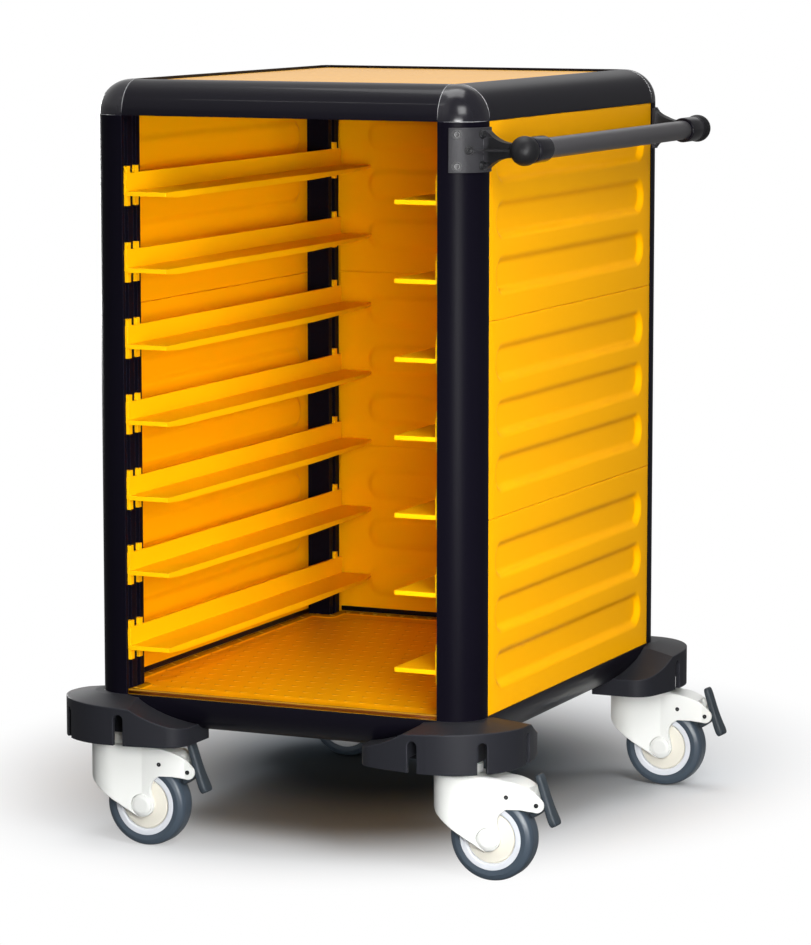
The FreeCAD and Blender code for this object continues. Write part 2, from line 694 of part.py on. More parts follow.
def rounded_seat():
    """The corner of the carcass's bottom, grown by the play round it."""
    body = new_body("bumper_seat")
    plan = new_sketch(body, "XY", out="panel_bottom - frame_height")
    reach = "2 * bumper_arm"
    rectangle(plan, "-seat_gap", "-seat_gap", reach, reach)
    pad(body, plan, "2 * frame_height")
    low = value("-seat_gap")
    bottom = value("panel_bottom - frame_height")
    round_edges(body, "edge_radius", lambda e: through(e, x=low, y=low)
                or through(e, x=low, z=bottom) or through(e, y=low, z=bottom))
    return body


def prism(name, draw, bottom, top):
    """A straight solid between two heights over the plan that draw() puts in its sketch."""
    body = new_body(name)
    plan = new_sketch(body, "XY", out=bottom)
    draw(plan)
    pad(body, plan, f"{top} - ({bottom})")
    return body


def bumper_hollow():
    """Space under a bumper's skin: low all over, higher outside the frame and by the corner."""
    start = "bumper_bottom - 1"

    def inset_plan(plan):
        bumper_outline(plan, "bumper_wall")

    low = prism("hollow_low", inset_plan, start, "panel_bottom - frame_height - 4.5")
    arms = prism("hollow_arms", inset_plan, start, "arm_end_top - bumper_wall")
    tall = prism("hollow_tall", inset_plan, start, "bumper_peak - 18")
    limit = "arm_slope_start - 2"
    near = prism("near_corner", lambda p: rectangle(p, "-bumper_arm", "-bumper_arm", limit, limit),
                 start, "bumper_peak")
    under = prism("frame_quarter", lambda p: rectangle(p, "-bumper_wall", "-bumper_wall",
                                                       "2 * bumper_arm", "2 * bumper_arm"),
                  "bumper_bottom - 2", "bumper_peak + 10")
    corner = boolean("Common", "hollow_corner", tall, near)
    outside = boolean("Cut", "hollow_outside", boolean("Fuse", "hollow_high", arms, corner), under)
    return boolean("Fuse", "bumper_hollow", low, outside)


def bumper_slots():
    """Three round-topped slots through the outer wall, one on each arm and one between."""
    half = "bumper_slot / 2"
    body = new_body("slot")
    face = new_sketch(body, "XZ")
    outline(face, [
        (f"-{half}", "bumper_bottom - 1"), (half, "bumper_bottom - 1"),
        (half, "bumper_slot_top", half, 1), (f"-{half}", "bumper_slot_top"),
    ])
    pad(body, face, "2 * bumper_bulge", middle=True)
    reach = "bumper_bulge"
    middle = "bumper_round - bumper_bulge"
    diagonal = f"{middle} - bumper_round * {math.sqrt(0.5):.6f}"
    slots = doc.addObject("Part::Compound", "slots")
    slots.Links = [
        placed(body, "bumper_slot_at", f"-{reach}"),
        placed(body, f"-{reach}", "bumper_slot_at", turn=90.0),
        placed(body, diagonal, diagonal, turn=-45.0),
    ]
    return slots


def build_bumpers():
    """Hollow corner bumpers seated round the frame, open below for the casters."""
    seated = boolean("Cut", "bumper_seated", bumper_shell(), rounded_seat())
    hollowed = boolean("Cut", "bumper_hollowed", seated, bumper_hollow())
    slotted = boolean("Cut", "bumper_slotted", hollowed, bumper_slots())

    def stem_plan(plan):
        circle(plan, "post_size / 2", "post_size / 2", "collar_radius + 2")

    hole = prism("stem_hole", stem_plan, "bumper_bottom - 1", "panel_bottom - frame_height / 2 + 1")
    bumper = boolean("Cut", "bumper", slotted, hole)
    node("corner_bumpers", [at_corner(bumper, corner) for corner in CORNERS])


# ---------------------------------------------------------------- push handle

def screw_places():
    """Angle round the post's rounding and height of each screw of a bracket."""
    spread = value("screw_spread")
    places = [(angle, step * spread) for angle in SCREW_ANGLES for step in (-1, 1)]
    places.append((MIDDLE_SCREW_ANGLE, 0.0))
    return places


def on_rounding(source, angle, rise, radius):
    """Put a piece drawn along +Z outwards on the corner's rounding, at an angle and height."""
    turn = math.radians(angle)
    outward = FreeCAD.Vector(-math.sin(turn), -math.cos(turn), 0)
    centre = value("edge_radius")
    foot = FreeCAD.Vector(centre, centre, value("handle_up") + rise) + outward * radius
    moved = doc.addObject("Part::Compound", f"{source.Name}_place")
    moved.Links = [source]
    rotation = FreeCAD.Rotation(FreeCAD.Vector(0, 0, 1), outward)
    moved.Placement = FreeCAD.Placement(foot, rotation)
    return moved


def screw_drills():
    """Holes for the bracket's screws, through the saddle and into the post, with head room."""
    drill = ring_body("drill", "XZ", ("0", "0", "0"), [
        ("0", "-screw_length - 1"), ("screw_hole", "-screw_length - 1"), ("screw_hole", "0"),
        ("screw_head + 0.4", "0"), ("screw_head + 0.4", "12"), ("0", "12"),
    ], "V_Axis")
    drills = doc.addObject("Part::Compound", "drills")
    start = value("edge_radius + saddle_gap + saddle_sheet")
    drills.Links = [on_rounding(drill, angle, rise, start) for angle, rise in screw_places()]
    return drills


def screw_body():
    """Socket screw: shank, flat head and hexagon socket, its head's underside at z = 0."""
    body = new_body("screw")
    profile = new_sketch(body, "XZ")
    outline(profile, [
        ("0", "-screw_length"), ("screw_shank", "-screw_length"), ("screw_shank", "0"),
        ("screw_head", "0"), ("screw_head", "screw_head_height * 0.7"),
        ("screw_head * 0.85", "screw_head_height"), ("0", "screw_head_height"),
    ])
    spin(body, profile, "V_Axis")
    socket = new_sketch(body, "XY", out="screw_head_height")
    turns = [math.radians(60 * step) for step in range(6)]
    outline(socket, [(f"screw_shank * {math.cos(t):.6f}", f"screw_shank * {math.sin(t):.6f}")
                     for t in turns])
    pocket(body, socket, "screw_head_height * 0.6")
    return body


def bracket_body():
    """Handle bracket: a saddle round the post, a flared arm, a rib and a ball end."""
    body = new_body("bracket")
    saddle = new_sketch(body, "XY", out="handle_up - saddle_height / 2")
    near, far = "-saddle_gap", "-(saddle_gap + saddle_sheet)"
    inner, outer = "(edge_radius + saddle_gap)", "(edge_radius + saddle_gap + saddle_sheet)"
    side, front = "sin(saddle_start * 1 deg)", "cos(saddle_start * 1 deg)"
    outline(saddle, [
        (f"edge_radius - {inner} * {side}", f"edge_radius - {inner} * {front}", inner, -1),
        (near, "edge_radius"), (near, "saddle_side"), (far, "saddle_side"),
        (far, "edge_radius", outer, 1),
        (f"edge_radius - {outer} * {side}", f"edge_radius - {outer} * {front}"),
    ])
    pad(body, saddle, "saddle_height")
    arm = body.newObject("PartDesign::AdditiveLoft", "bracket_arm")
    sections = (("saddle_gap + 0.5", 33.5, 9.0, 23.5), ("18", 29.0, 7.5, 11.5),
                ("handle_out - 12", 23.0, 7.0, 8.0))
    rings = []
    for out, across, half_width, half_height in sections:
        ring = new_sketch(body, "YZ", up="handle_up", out=f"-({out})")
        rectangle(ring, f"{across - half_width}", f"-{half_height}",
                  f"{across + half_width}", f"{half_height}")
        rings.append(ring)
    arm.Profile = rings[0]
    arm.Sections = rings[1:]
    ball = new_sketch(body, "YZ", right="handle_in", up="handle_up", out="-handle_out")
    flat_radius = "sqrt(ball_radius ^ 2 - ball_flat ^ 2)"
    outline(ball, [
        ("-ball_radius", "0"), ("ball_flat", "0"),
        ("ball_flat", flat_radius, "ball_radius", 1),
    ])
    spin(body, ball)
    rib = new_sketch(body, "XY", out="handle_up - 1.2")
    outline(rib, [("7.5", "12"), ("1.5", "24"), ("-40", "22"), ("-40", "13"), ("-8", "9.5")])
    pad(body, rib, "2.4")
    return body


def ring_body(name, plane, offsets, corners, axis):
    """A turned piece: a sketch outline spun about an axis of its sketch."""
    body = new_body(name)
    profile = new_sketch(body, plane, *offsets)
    outline(profile, corners)
    spin(body, profile, axis)
    return body


def build_handle(drills):
    """Two brackets with ball ends, two ferrules, the tube between them and ten screws."""
    bracket = boolean("Cut", "drilled_bracket", bracket_body(), drills)
    for end, corner in (("front", "front_right"), ("rear", "rear_right")):
        node(f"handle_bracket_{end}", [at_corner(bracket, corner)])
    axis = ("handle_in", "handle_up", "-handle_out")
    mouth = "ball_flat + ferrule_length"
    bore = "tube_radius + 0.05"
    seat = "ball_flat + tube_seat"
    ferrule = ring_body("ferrule", "YZ", axis, [
        ("ball_flat", "0"), (seat, "0"), (seat, bore), (mouth, bore),
        (mouth, "ferrule_radius - 1"), (f"{mouth} - 1", "ferrule_radius"),
        ("ball_flat + 1", "ferrule_radius"), ("ball_flat", "ferrule_radius - 1"),
    ], "H_Axis")
    ends = [at_corner(ferrule, corner) for corner in ("front_right", "rear_right")]
    node("handle_ferrules", ends)
    far = f"carcass_depth - 2 * handle_in - ({seat})"
    tube = ring_body("tube", "YZ", axis, [
        (seat, "tube_bore"), (far, "tube_bore"), (far, "tube_radius"), (seat, "tube_radius"),
    ], "H_Axis")
    node("handle_tube", [at_corner(tube, "front_right")])
    screw = screw_body()
    outside = value("edge_radius + saddle_gap + saddle_sheet")
    screws = doc.addObject("Part::Compound", "screws")
    screws.Links = [on_rounding(screw, angle, rise, outside) for angle, rise in screw_places()]
    node("bracket_screws", [at_corner(screws, c) for c in ("front_right", "rear_right")])


# ---------------------------------------------------------------- casters

def fork_plan(plan):
    """Plan of the housing: round about the stem, tapering to the beak."""
    tip = "pivot_out + tip_radius"
    away = "4 * wheel_radius"
    lead = "fork_nose * 0.31"
    side = "fork_nose * 0.951"
    outline(plan, [
        (lead, f"-{side}"), ("trail", "-fork_half", "beak_sweep", 1),
        ("pivot_out - 4", "-tip_half"), (tip, "-tip_half"), (tip, "tip_half"),
        ("pivot_out - 4", "tip_half", "beak_sweep", 1), ("trail", "fork_half"),
        (lead, side, "fork_nose", 1), ("-fork_nose", "0", "fork_nose", 1),
    ])
    rectangle(plan, f"-{away}", f"-{away}", away, away)


def fork_body():
    """Caster housing: round nose, two cheeks down to the axle and a beak over the wheel."""
    body = new_body("fork")
    side = new_sketch(body, "XZ")
    boss_low = ("trail - boss_radius * 0.57", "wheel_radius - boss_radius * 0.82")
    tip_top = ("pivot_out + tip_radius * 0.71", "pivot_up + tip_radius * 0.71")
    outline(side, [
        ("-fork_nose - 2", "fork_top"),
        ("-fork_nose - 2", "wheel_radius + 45", "34", 1),
        ("-fork_nose + 15", "wheel_radius + 22"),
        (*boss_low, "boss_radius", 1),
        ("trail + boss_radius", "wheel_radius"),
        ("trail + 10", "wheel_radius + 18", "18", -1),
        ("trail + 22", "wheel_radius + 35.5"),
        ("trail + 38", "wheel_radius + 35.5"),
        ("pivot_out - 1", "pivot_up - tip_radius + 0.06", "tip_radius", 1),
        (*tip_top, "62", 1),
        ("trail + 22", "fork_top - 2.5", "120", 1),
        ("trail - 18", "fork_top"),
    ])
    pad(body, side, "2 * fork_nose + 2", middle=True)
    plan = new_sketch(body, "XY")
    fork_plan(plan)
    pocket(body, plan, "2 * fork_top", away=True)
    long = "3 * wheel_radius"
    round_edges(body, "fork_round", upper_rim)
    ceiling = "fork_top - plate"
    well = new_sketch(body, "XZ")
    outline(well, [
        ("-well_front", "0"), ("trail + 28", "0"), ("trail + 28", "fork_top - 15"),
        ("trail + 4", ceiling), ("-well_front", ceiling),
    ])
    pocket(body, well, "2 * well_half", middle=True)
    relief = new_sketch(body, "XZ")
    rectangle(relief, "trail + 20", "0", "trail + 38", "wheel_radius + 42")
    pocket(body, relief, "2 * hub_half", middle=True)
    slot = new_sketch(body, "XZ")
    outline(slot, [
        ("trail + 20", "0"), (long, "0"), (long, "2 * fork_top"),
        ("pivot_out - 10", "2 * fork_top"), ("pivot_out - 10", "fork_top - 18"),
        ("trail + 20", "fork_top - 15"),
    ])
    pocket(body, slot, "2 * slot_half", middle=True)
    axle_hole = new_sketch(body, "XZ")
    circle(axle_hole, "trail", "wheel_radius", "axle_radius + run_gap")
    pocket(body, axle_hole, "4 * fork_half", middle=True)
    for out, away in (("fork_half", True), ("-fork_half", False)):
        seat = new_sketch(body, "XZ", out=out)
        circle(seat, "trail", "wheel_radius", "cover_radius + 0.6")
        pocket(body, seat, "fork_half", away=away)
    pins = new_sketch(body, "XZ")
    circle(pins, "pivot_out", "pivot_up", "pin_radius")
    pad(body, pins, "2 * tip_half + 1.6", middle=True)
    spring_pin = new_sketch(body, "XZ")
    circle(spring_pin, "spring_pin_out", "spring_pin_up", "pin_radius")
    pad(body, spring_pin, "2 * fork_half - 2.5", middle=True)
    bore = new_sketch(body, "XY", out="fork_top + 1")
    circle(bore, "0", "0", "kingpin_radius + run_gap")
    pocket(body, bore, "plate + 2")
    return body


def upper_rim(edge):
    """Whether an edge of the housing runs along the rim of its top, as far as the beak."""
    box = edge.BoundBox
    if box.ZMin < value("fork_top - 10") or box.XMax > value("trail + 31"):
        return False
    nose = box.XMax < value("fork_nose * 0.32") and box.ZMax - box.ZMin < 0.01
    one_side = box.YMin > 1.0 or box.YMax < -1.0
    return nose or (one_side and box.YMax - box.YMin < box.XMax - box.XMin)


def axle_body():
    """Axle bolt with a round cover at each end."""
    cover, edge = "fork_half + cover_height", "fork_half + cover_height - 1.5"
    half = [
        ("fork_half", "axle_radius"), ("fork_half", "cover_radius"), (edge, "cover_radius"),
        (cover, "cover_radius - 4"), (cover, "0"),
    ]
    other = [(f"-({x})", y) for x, y in reversed(half)]
    return ring_body("axle", "YZ", ("0", "wheel_radius", "trail"), other + half, "H_Axis")


def mirrored_profile(half):
    """A turned profile from its right half."""
    return half + [(f"-({x})", y) for x, y in reversed(half)]


def wheel_core_body():
    """Wheel core: hub, dished disc, thread-guard groove and rim."""
    half = [
        ("hub_half", "axle_radius + run_gap"), ("hub_half", "11"), ("12", "13.5"),
        ("12", "28.5"), ("10", "29.5"), ("12.5", "30.5"), ("13.5", "rim_radius"),
    ]
    return ring_body("core", "YZ", ("0", "wheel_radius", "trail"), mirrored_profile(half),
                     "H_Axis")


def tyre_body():
    """Moulded tyre with a slightly crowned tread."""
    half = [
        ("14", "rim_radius + run_gap"), ("14.8", "wheel_radius - 5.5"),
        ("11.8", "wheel_radius - 1.5"), ("6", "wheel_radius"),
    ]
    return ring_body("tyre", "YZ", ("0", "wheel_radius", "trail"), mirrored_profile(half),
                     "H_Axis")


def pedal_body():
    """Brake pedal: upright plate, hub on its pin, wide toe, and a shoe over the tyre."""
    body = new_body("pedal")
    side = new_sketch(body, "XZ")
    points = [
        (-12.6, -13.1), (-9.6, -15.5), (4, -12.5), (13, -9), (16.2, 1), (2.2, 34.5),
        (-5.2, 32.3), (3.2, 9.5), (-4, 4), (-6.5, -2),
    ]
    outline(side, [(f"pivot_out + {x}", f"pivot_up + {y}") for x, y in points])
    pad(body, side, "2 * pedal_half", middle=True)
    toe = new_sketch(body, "XZ")
    points = [(10.5, 5.5), (9.9, -2), (14.5, -22.5), (17.5, -25), ("toe_reach", -21.5),
              (23.5, -17), (17, 2)]
    outline(toe, [(x if x == "toe_reach" else f"pivot_out + {x}", f"pivot_up + {y}")
                  for x, y in points])
    pad(body, toe, "2 * toe_half", middle=True)
    hole = new_sketch(body, "XZ")
    circle(hole, "pivot_out", "pivot_up", "pin_radius + run_gap")
    pocket(body, hole, "4 * pedal_half", middle=True)
    return body


def stem_body():
    """Fixed half of a caster: kingpin with its head, collar under the frame, rod into the post."""
    head = "fork_top - plate - bearing_gap"
    collar = "fork_top + bearing_gap + bearing_height"
    seat = "panel_bottom - frame_height"
    return ring_body("stem", "XZ", ("0", "0", "0"), [
        ("0", f"{head} - 5.5"), ("10", f"{head} - 5.5"), ("10", head),
        ("kingpin_radius", head), ("kingpin_radius", collar), ("collar_radius", collar),
        ("collar_radius", f"{collar} + 9"), ("collar_radius - 1.5", f"{collar} + 10"),
        ("collar_radius - 1.5", seat), ("kingpin_radius", seat),
        ("kingpin_radius", "kingpin_top"), ("0", "kingpin_top"),
    ], "V_Axis")


def bearing_body():
    low = "fork_top + bearing_gap"
    return ring_body("bearing", "XZ", ("0", "0", "0"), [
        ("kingpin_radius + 1", low), ("bearing_radius", low),
        ("bearing_radius", f"{low} + bearing_height"),
        ("kingpin_radius + 1", f"{low} + bearing_height"),
    ], "V_Axis")


def build_casters():
    """Four equal casters under the posts, all trailing towards +X."""
    moving = {
        "fork": fork_body(), "axle": axle_body(), "wheel_core": wheel_core_body(),
        "wheel_tyre": tyre_body(), "brake_pedal": pedal_body(),
    }
    fixed = {"caster_stems": stem_body(), "swivel_bearings": bearing_body()}
    spots = {}
    for corner, mirror in CORNERS.items():
        x = "carcass_width / 2 - post_size / 2"
        y = "carcass_depth / 2 - post_size / 2"
        spots[corner] = (x if "x" in mirror else f"-({x})", y if "y" in mirror else f"-({y})")
    for label, source in fixed.items():
        node(label, [placed(source, *spot) for spot in spots.values()])
    for corner, spot in spots.items():
        for label, source in moving.items():
            node(f"{label}_{corner}", [placed(source, *spot)])


# ---------------------------------------------------------------- build, check and write

def check():
    """Stop on any failed object and on any sub-part that isn't sound."""
    doc.recompute()
    for thing in doc.Objects:
        if {"Invalid", "Error"} & set(thing.State):
            raise RuntimeError(f"{thing.Name} failed: {thing.State}")
    for piece in nodes:
        shape = piece.Shape
        if shape.isNull() or not shape.isValid() or not shape.Solids:
            raise RuntimeError(f"{piece.Label} has no valid solid")


def write():
    """Write each sub-part to its own file."""
    os.makedirs("parts", exist_ok=True)
    for piece in nodes:
        piece.Shape.exportStep(f"parts/{piece.Label}.step")


def main():
    fill_sheet()
    drills = screw_drills()
    build_posts(drills)
    build_frame()
    build_walls()
    build_top_panel()
    build_floor()
    build_slides()
    build_bumpers()
    build_handle(drills)
    build_casters()
    check()
    write()
    print(f"{len(nodes)} sub-parts written")


main()
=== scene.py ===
"""Looks of the enclosed meal tray cart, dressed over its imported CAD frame.

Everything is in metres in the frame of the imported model: +Z up, floor at z = 0, open front
towards -Y, handle side towards +X. Sizes in the classes below are written in millimetres and
turned into metres where a mesh is made.
"""
import logging
import math
from dataclasses import dataclass, field, replace
from enum import Enum

import bmesh
import bpy
import numpy as np
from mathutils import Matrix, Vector


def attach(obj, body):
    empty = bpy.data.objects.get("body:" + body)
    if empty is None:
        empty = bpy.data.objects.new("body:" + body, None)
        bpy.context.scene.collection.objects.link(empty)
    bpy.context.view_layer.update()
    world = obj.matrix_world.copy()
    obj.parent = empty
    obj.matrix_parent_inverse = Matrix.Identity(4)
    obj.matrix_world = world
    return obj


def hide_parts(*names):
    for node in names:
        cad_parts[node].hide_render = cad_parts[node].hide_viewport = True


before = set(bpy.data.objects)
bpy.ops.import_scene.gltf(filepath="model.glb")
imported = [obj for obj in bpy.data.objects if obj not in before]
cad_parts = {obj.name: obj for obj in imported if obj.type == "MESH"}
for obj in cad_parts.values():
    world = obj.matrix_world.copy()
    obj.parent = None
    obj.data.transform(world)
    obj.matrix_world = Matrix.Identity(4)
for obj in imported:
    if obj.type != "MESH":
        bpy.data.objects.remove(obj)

LOG = logging.getLogger("meal_tray_cart")
MM = 0.001
CARCASS_SHIFT = -26.0
Tree = bpy.types.NodeTree
Node = bpy.types.Node
Socket = bpy.types.NodeSocket
Value = Socket | float
Point = tuple[float, float]
Triple = tuple[float, float, float]
Surface = tuple[np.ndarray, np.ndarray]


# ---------------------------------------------------------------- node groups

class Shade(Enum):
    """The shader node groups that several finishes share."""

    SOFT_EDGE = "soft_edge"
    CLOUDING = "clouding"
    GRAIN = "grain"
    DUST = "dust"
    FLECKS = "flecks"


class NodeGroups:
    """Makes each shared shader node group once and places it in a material.

    Attributes:
        bevel_samples: how many rays the soft edge's bevel takes.
        edge_sharpness: how fast its mask rises as the normal turns.
        coarse_scale, coarse_height: scale and height of the grain's wider part, over the fine.
        dust_power: how soon the dust thins out as a face tilts.
        dust_scale: scale of the noise that breaks it up, per metre.
        fleck_bend: how far a fleck is bent.
        fleck_falls: how fast it falls away along its length and across it.
    """

    bevel_samples = 6
    edge_sharpness = 6.0
    coarse_scale = 0.23
    coarse_height = 0.6
    dust_power = 3.0
    dust_scale = 38.0
    fleck_bend = 2.4
    fleck_falls = (11.0, 60.0)

    def __init__(self) -> None:
        """Start with no group made."""
        self._made: dict[Shade, Tree] = {}

    def place(self, tree: Tree, which: Shade, **values: float) -> Node:
        """Put a group into a material and set its inputs.

        Args:
            tree: the material's node tree.
            which: the group to place.
            values: input values, by the input's name.

        Returns:
            The group node.
        """
        if which not in self._made:
            self._made[which] = getattr(self, f"_{which.value}")()
        return add_node(tree, "Group", values, node_tree=self._made[which])

    @staticmethod
    def _tree(name: str, inputs: dict[str, float], outputs: dict[str, str]) -> tuple:
        """Make an empty group with named sockets.

        Args:
            name: the group's name.
            inputs: float inputs and their defaults.
            outputs: outputs and their socket kinds.

        Returns:
            The tree, its input node and its output node.
        """
        tree = bpy.data.node_groups.new(name, "ShaderNodeTree")
        for label, default in inputs.items():
            socket = tree.interface.new_socket(label, in_out="INPUT", socket_type="NodeSocketFloat")
            socket.default_value = default
        for label, kind in outputs.items():
            tree.interface.new_socket(label, in_out="OUTPUT", socket_type=f"NodeSocket{kind}")
        return tree, tree.nodes.new("NodeGroupInput"), tree.nodes.new("NodeGroupOutput")

    def _soft_edge(self) -> Tree:
        """Normals rounded over the edges, and a mask of where they turn."""
        outputs = {"Normal": "Vector", "Edge": "Float"}
        tree, given, out = self._tree("soft edge", {"Radius": 0.001}, outputs)
        radius = {"Radius": given.outputs["Radius"]}
        rounded = add_node(tree, "Bevel", radius, samples=self.bevel_samples).outputs[0]
        true = add_node(tree, "NewGeometry").outputs["Normal"]
        agreement = vector_math(tree, "DOT_PRODUCT", {0: rounded, 1: true}).outputs["Value"]
        swing = math_node(tree, "SUBTRACT", 1.0, agreement)
        mask = math_node(tree, "MULTIPLY", swing, self.edge_sharpness, clamp=True)
        feed(tree, out, {"Normal": rounded, "Edge": mask})
        return tree

    def _clouding(self) -> Tree:
        """Slow, faint unevenness of a moulded or painted surface, about 1."""
        tree, given, out = self._tree("clouding", {"Scale": 6.0, "Amount": 0.1},
                                      {"Factor": "Float"})
        noise = noise_node(tree, given.outputs["Scale"], detail=3.0)
        centred = math_node(tree, "SUBTRACT", noise, 0.5)
        swing = math_node(tree, "MULTIPLY", centred, given.outputs["Amount"])
        feed(tree, out, {"Factor": math_node(tree, "ADD", swing, 1.0)})
        return tree

    def _grain(self) -> Tree:
        """Fine height of a spark-eroded mould or a sprayed coat."""
        tree, given, out = self._tree("grain", {"Scale": 900.0}, {"Height": "Float"})
        scale = given.outputs["Scale"]
        fine = noise_node(tree, scale, detail=2.0)
        wide = noise_node(tree, math_node(tree, "MULTIPLY", scale, self.coarse_scale), detail=1.0)
        coarse = math_node(tree, "MULTIPLY", wide, self.coarse_height)
        feed(tree, out, {"Height": math_node(tree, "ADD", fine, coarse)})
        return tree

    def _dust(self) -> Tree:
        """A mask of thin dust on faces that look up, broken up by noise."""
        tree, given, out = self._tree("dust", {"Amount": 0.1}, {"Mask": "Float"})
        normal = parts_of(tree, add_node(tree, "NewGeometry").outputs["Normal"])
        up = math_node(tree, "POWER", math_node(tree, "MAXIMUM", normal["Z"], 0.0),
                       self.dust_power)
        broken = math_node(tree, "MULTIPLY", up, noise_node(tree, self.dust_scale, detail=5.0))
        mask = math_node(tree, "MULTIPLY", broken, given.outputs["Amount"], clamp=True)
        feed(tree, out, {"Mask": mask})
        return tree

    def _flecks(self) -> Tree:
        """Staggered rows of small bent humps, as rolled into an anti-slip sheet.

        In a cell of the pattern, u and v run from -0.5 to 0.5. The hump is one less the squares
        of u and of v less the square of u, each over its half length.
        """
        sizes = {"Across": 0.019, "Along": 0.03}
        tree, given, out = self._tree("flecks", sizes, {"Height": "Float"})
        place = parts_of(tree, placed_at(tree))
        along = math_node(tree, "DIVIDE", place["Y"], given.outputs["Along"])
        odd = math_node(tree, "PINGPONG", math_node(tree, "FLOOR", along), 1.0)
        across = math_node(tree, "DIVIDE", place["X"], given.outputs["Across"])
        shifted = math_node(tree, "ADD", across, math_node(tree, "MULTIPLY", odd, 0.5))
        u, v = (math_node(tree, "SUBTRACT", math_node(tree, "FRACT", way), 0.5)
                for way in (shifted, along))
        square = math_node(tree, "MULTIPLY", u, u)
        bent = math_node(tree, "SUBTRACT", v,
                         math_node(tree, "MULTIPLY", square, self.fleck_bend))
        squares = square, math_node(tree, "MULTIPLY", bent, bent)
        falls = [math_node(tree, "MULTIPLY", part, gain)
                 for part, gain in zip(squares, self.fleck_falls)]
        height = math_node(tree, "SUBTRACT", 1.0, math_node(tree, "ADD", *falls), clamp=True)
        feed(tree, out, {"Height": height})
        return tree


def feed(tree: Tree, node: Node, inputs: dict) -> None:
    """Feed a node's inputs, named or numbered, from sockets or with plain values."""
    for name, value in inputs.items():
        if isinstance(value, Socket):
            tree.links.new(value, node.inputs[name])
        else:
            node.inputs[name].default_value = value


def add_node(tree: Tree, kind: str, inputs: dict | None = None, **settings: object) -> Node:
    """Add a shader node, set it up and feed it.

    Args:
        tree: the node tree.
        kind: the node's type, without "ShaderNode".
        inputs: a socket or a plain value for each input, by its name or number.
        settings: the node's own properties.

    Returns:
        The node.
    """
    node = tree.nodes.new(f"ShaderNode{kind}")
    for name, value in settings.items():
        setattr(node, name, value)
    feed(tree, node, inputs or {})
    return node


def math_node(tree: Tree, operation: str, first: Value, second: Value = 0.0,
              clamp: bool = False) -> Socket:
    """Add a Math node.

    Args:
        tree: the node tree.
        operation: the node's operation.
        first: first value.
        second: second value.
        clamp: whether the result is held between 0 and 1.

    Returns:
        The result's socket.
    """
    values = {0: first, 1: second}
    return add_node(tree, "Math", values, operation=operation, use_clamp=clamp).outputs[0]


def vector_math(tree: Tree, operation: str, inputs: dict) -> Node:
    """Add a Vector Math node."""
    return add_node(tree, "VectorMath", inputs, operation=operation)


def placed_at(tree: Tree, kind: str = "Object") -> Socket:
    """Texture coordinates of one kind."""
    return add_node(tree, "TexCoord").outputs[kind]


def parts_of(tree: Tree, vector: Socket) -> bpy.types.NodeOutputs:
    """A vector's X, Y and Z."""
    return add_node(tree, "SeparateXYZ", {0: vector}).outputs


def ramp_node(tree: Tree, value: Socket, span: Point, levels: Point = (0.0, 1.0),
              kind: str = "LINEAR") -> Socket:
    """Map a value from a span to two levels, and hold it between them.

    Args:
        tree: the node tree.
        value: what is mapped.
        span: the values at which the change begins and ends.
        levels: the results there.
        kind: the way between them.

    Returns:
        The result's socket.
    """
    inputs = {"Value": value, "From Min": span[0], "From Max": span[1],
              "To Min": levels[0], "To Max": levels[1]}
    return add_node(tree, "MapRange", inputs, interpolation_type=kind).outputs["Result"]


def mix_node(tree: Tree, factor: Socket, first: "Socket | Triple", second: Triple) -> Socket:
    """Mix two colours.

    Args:
        tree: the node tree.
        factor: share of the second.
        first: the first colour.
        second: the second one.

    Returns:
        The result's socket.
    """
    start = first if isinstance(first, Socket) else (*first, 1.0)
    inputs = {"Factor": factor, "A": start, "B": (*second, 1.0)}
    return add_node(tree, "Mix", inputs, data_type="RGBA").outputs["Result"]


def noise_node(tree: Tree, scale: Value, detail: float) -> Socket:
    """Add a Noise texture on Object coordinates, of a scale per metre and a detail."""
    inputs = {"Vector": placed_at(tree), "Scale": scale, "Detail": detail}
    return add_node(tree, "TexNoise", inputs).outputs["Fac"]


GROUPS = NodeGroups()


# ---------------------------------------------------------------- finishes

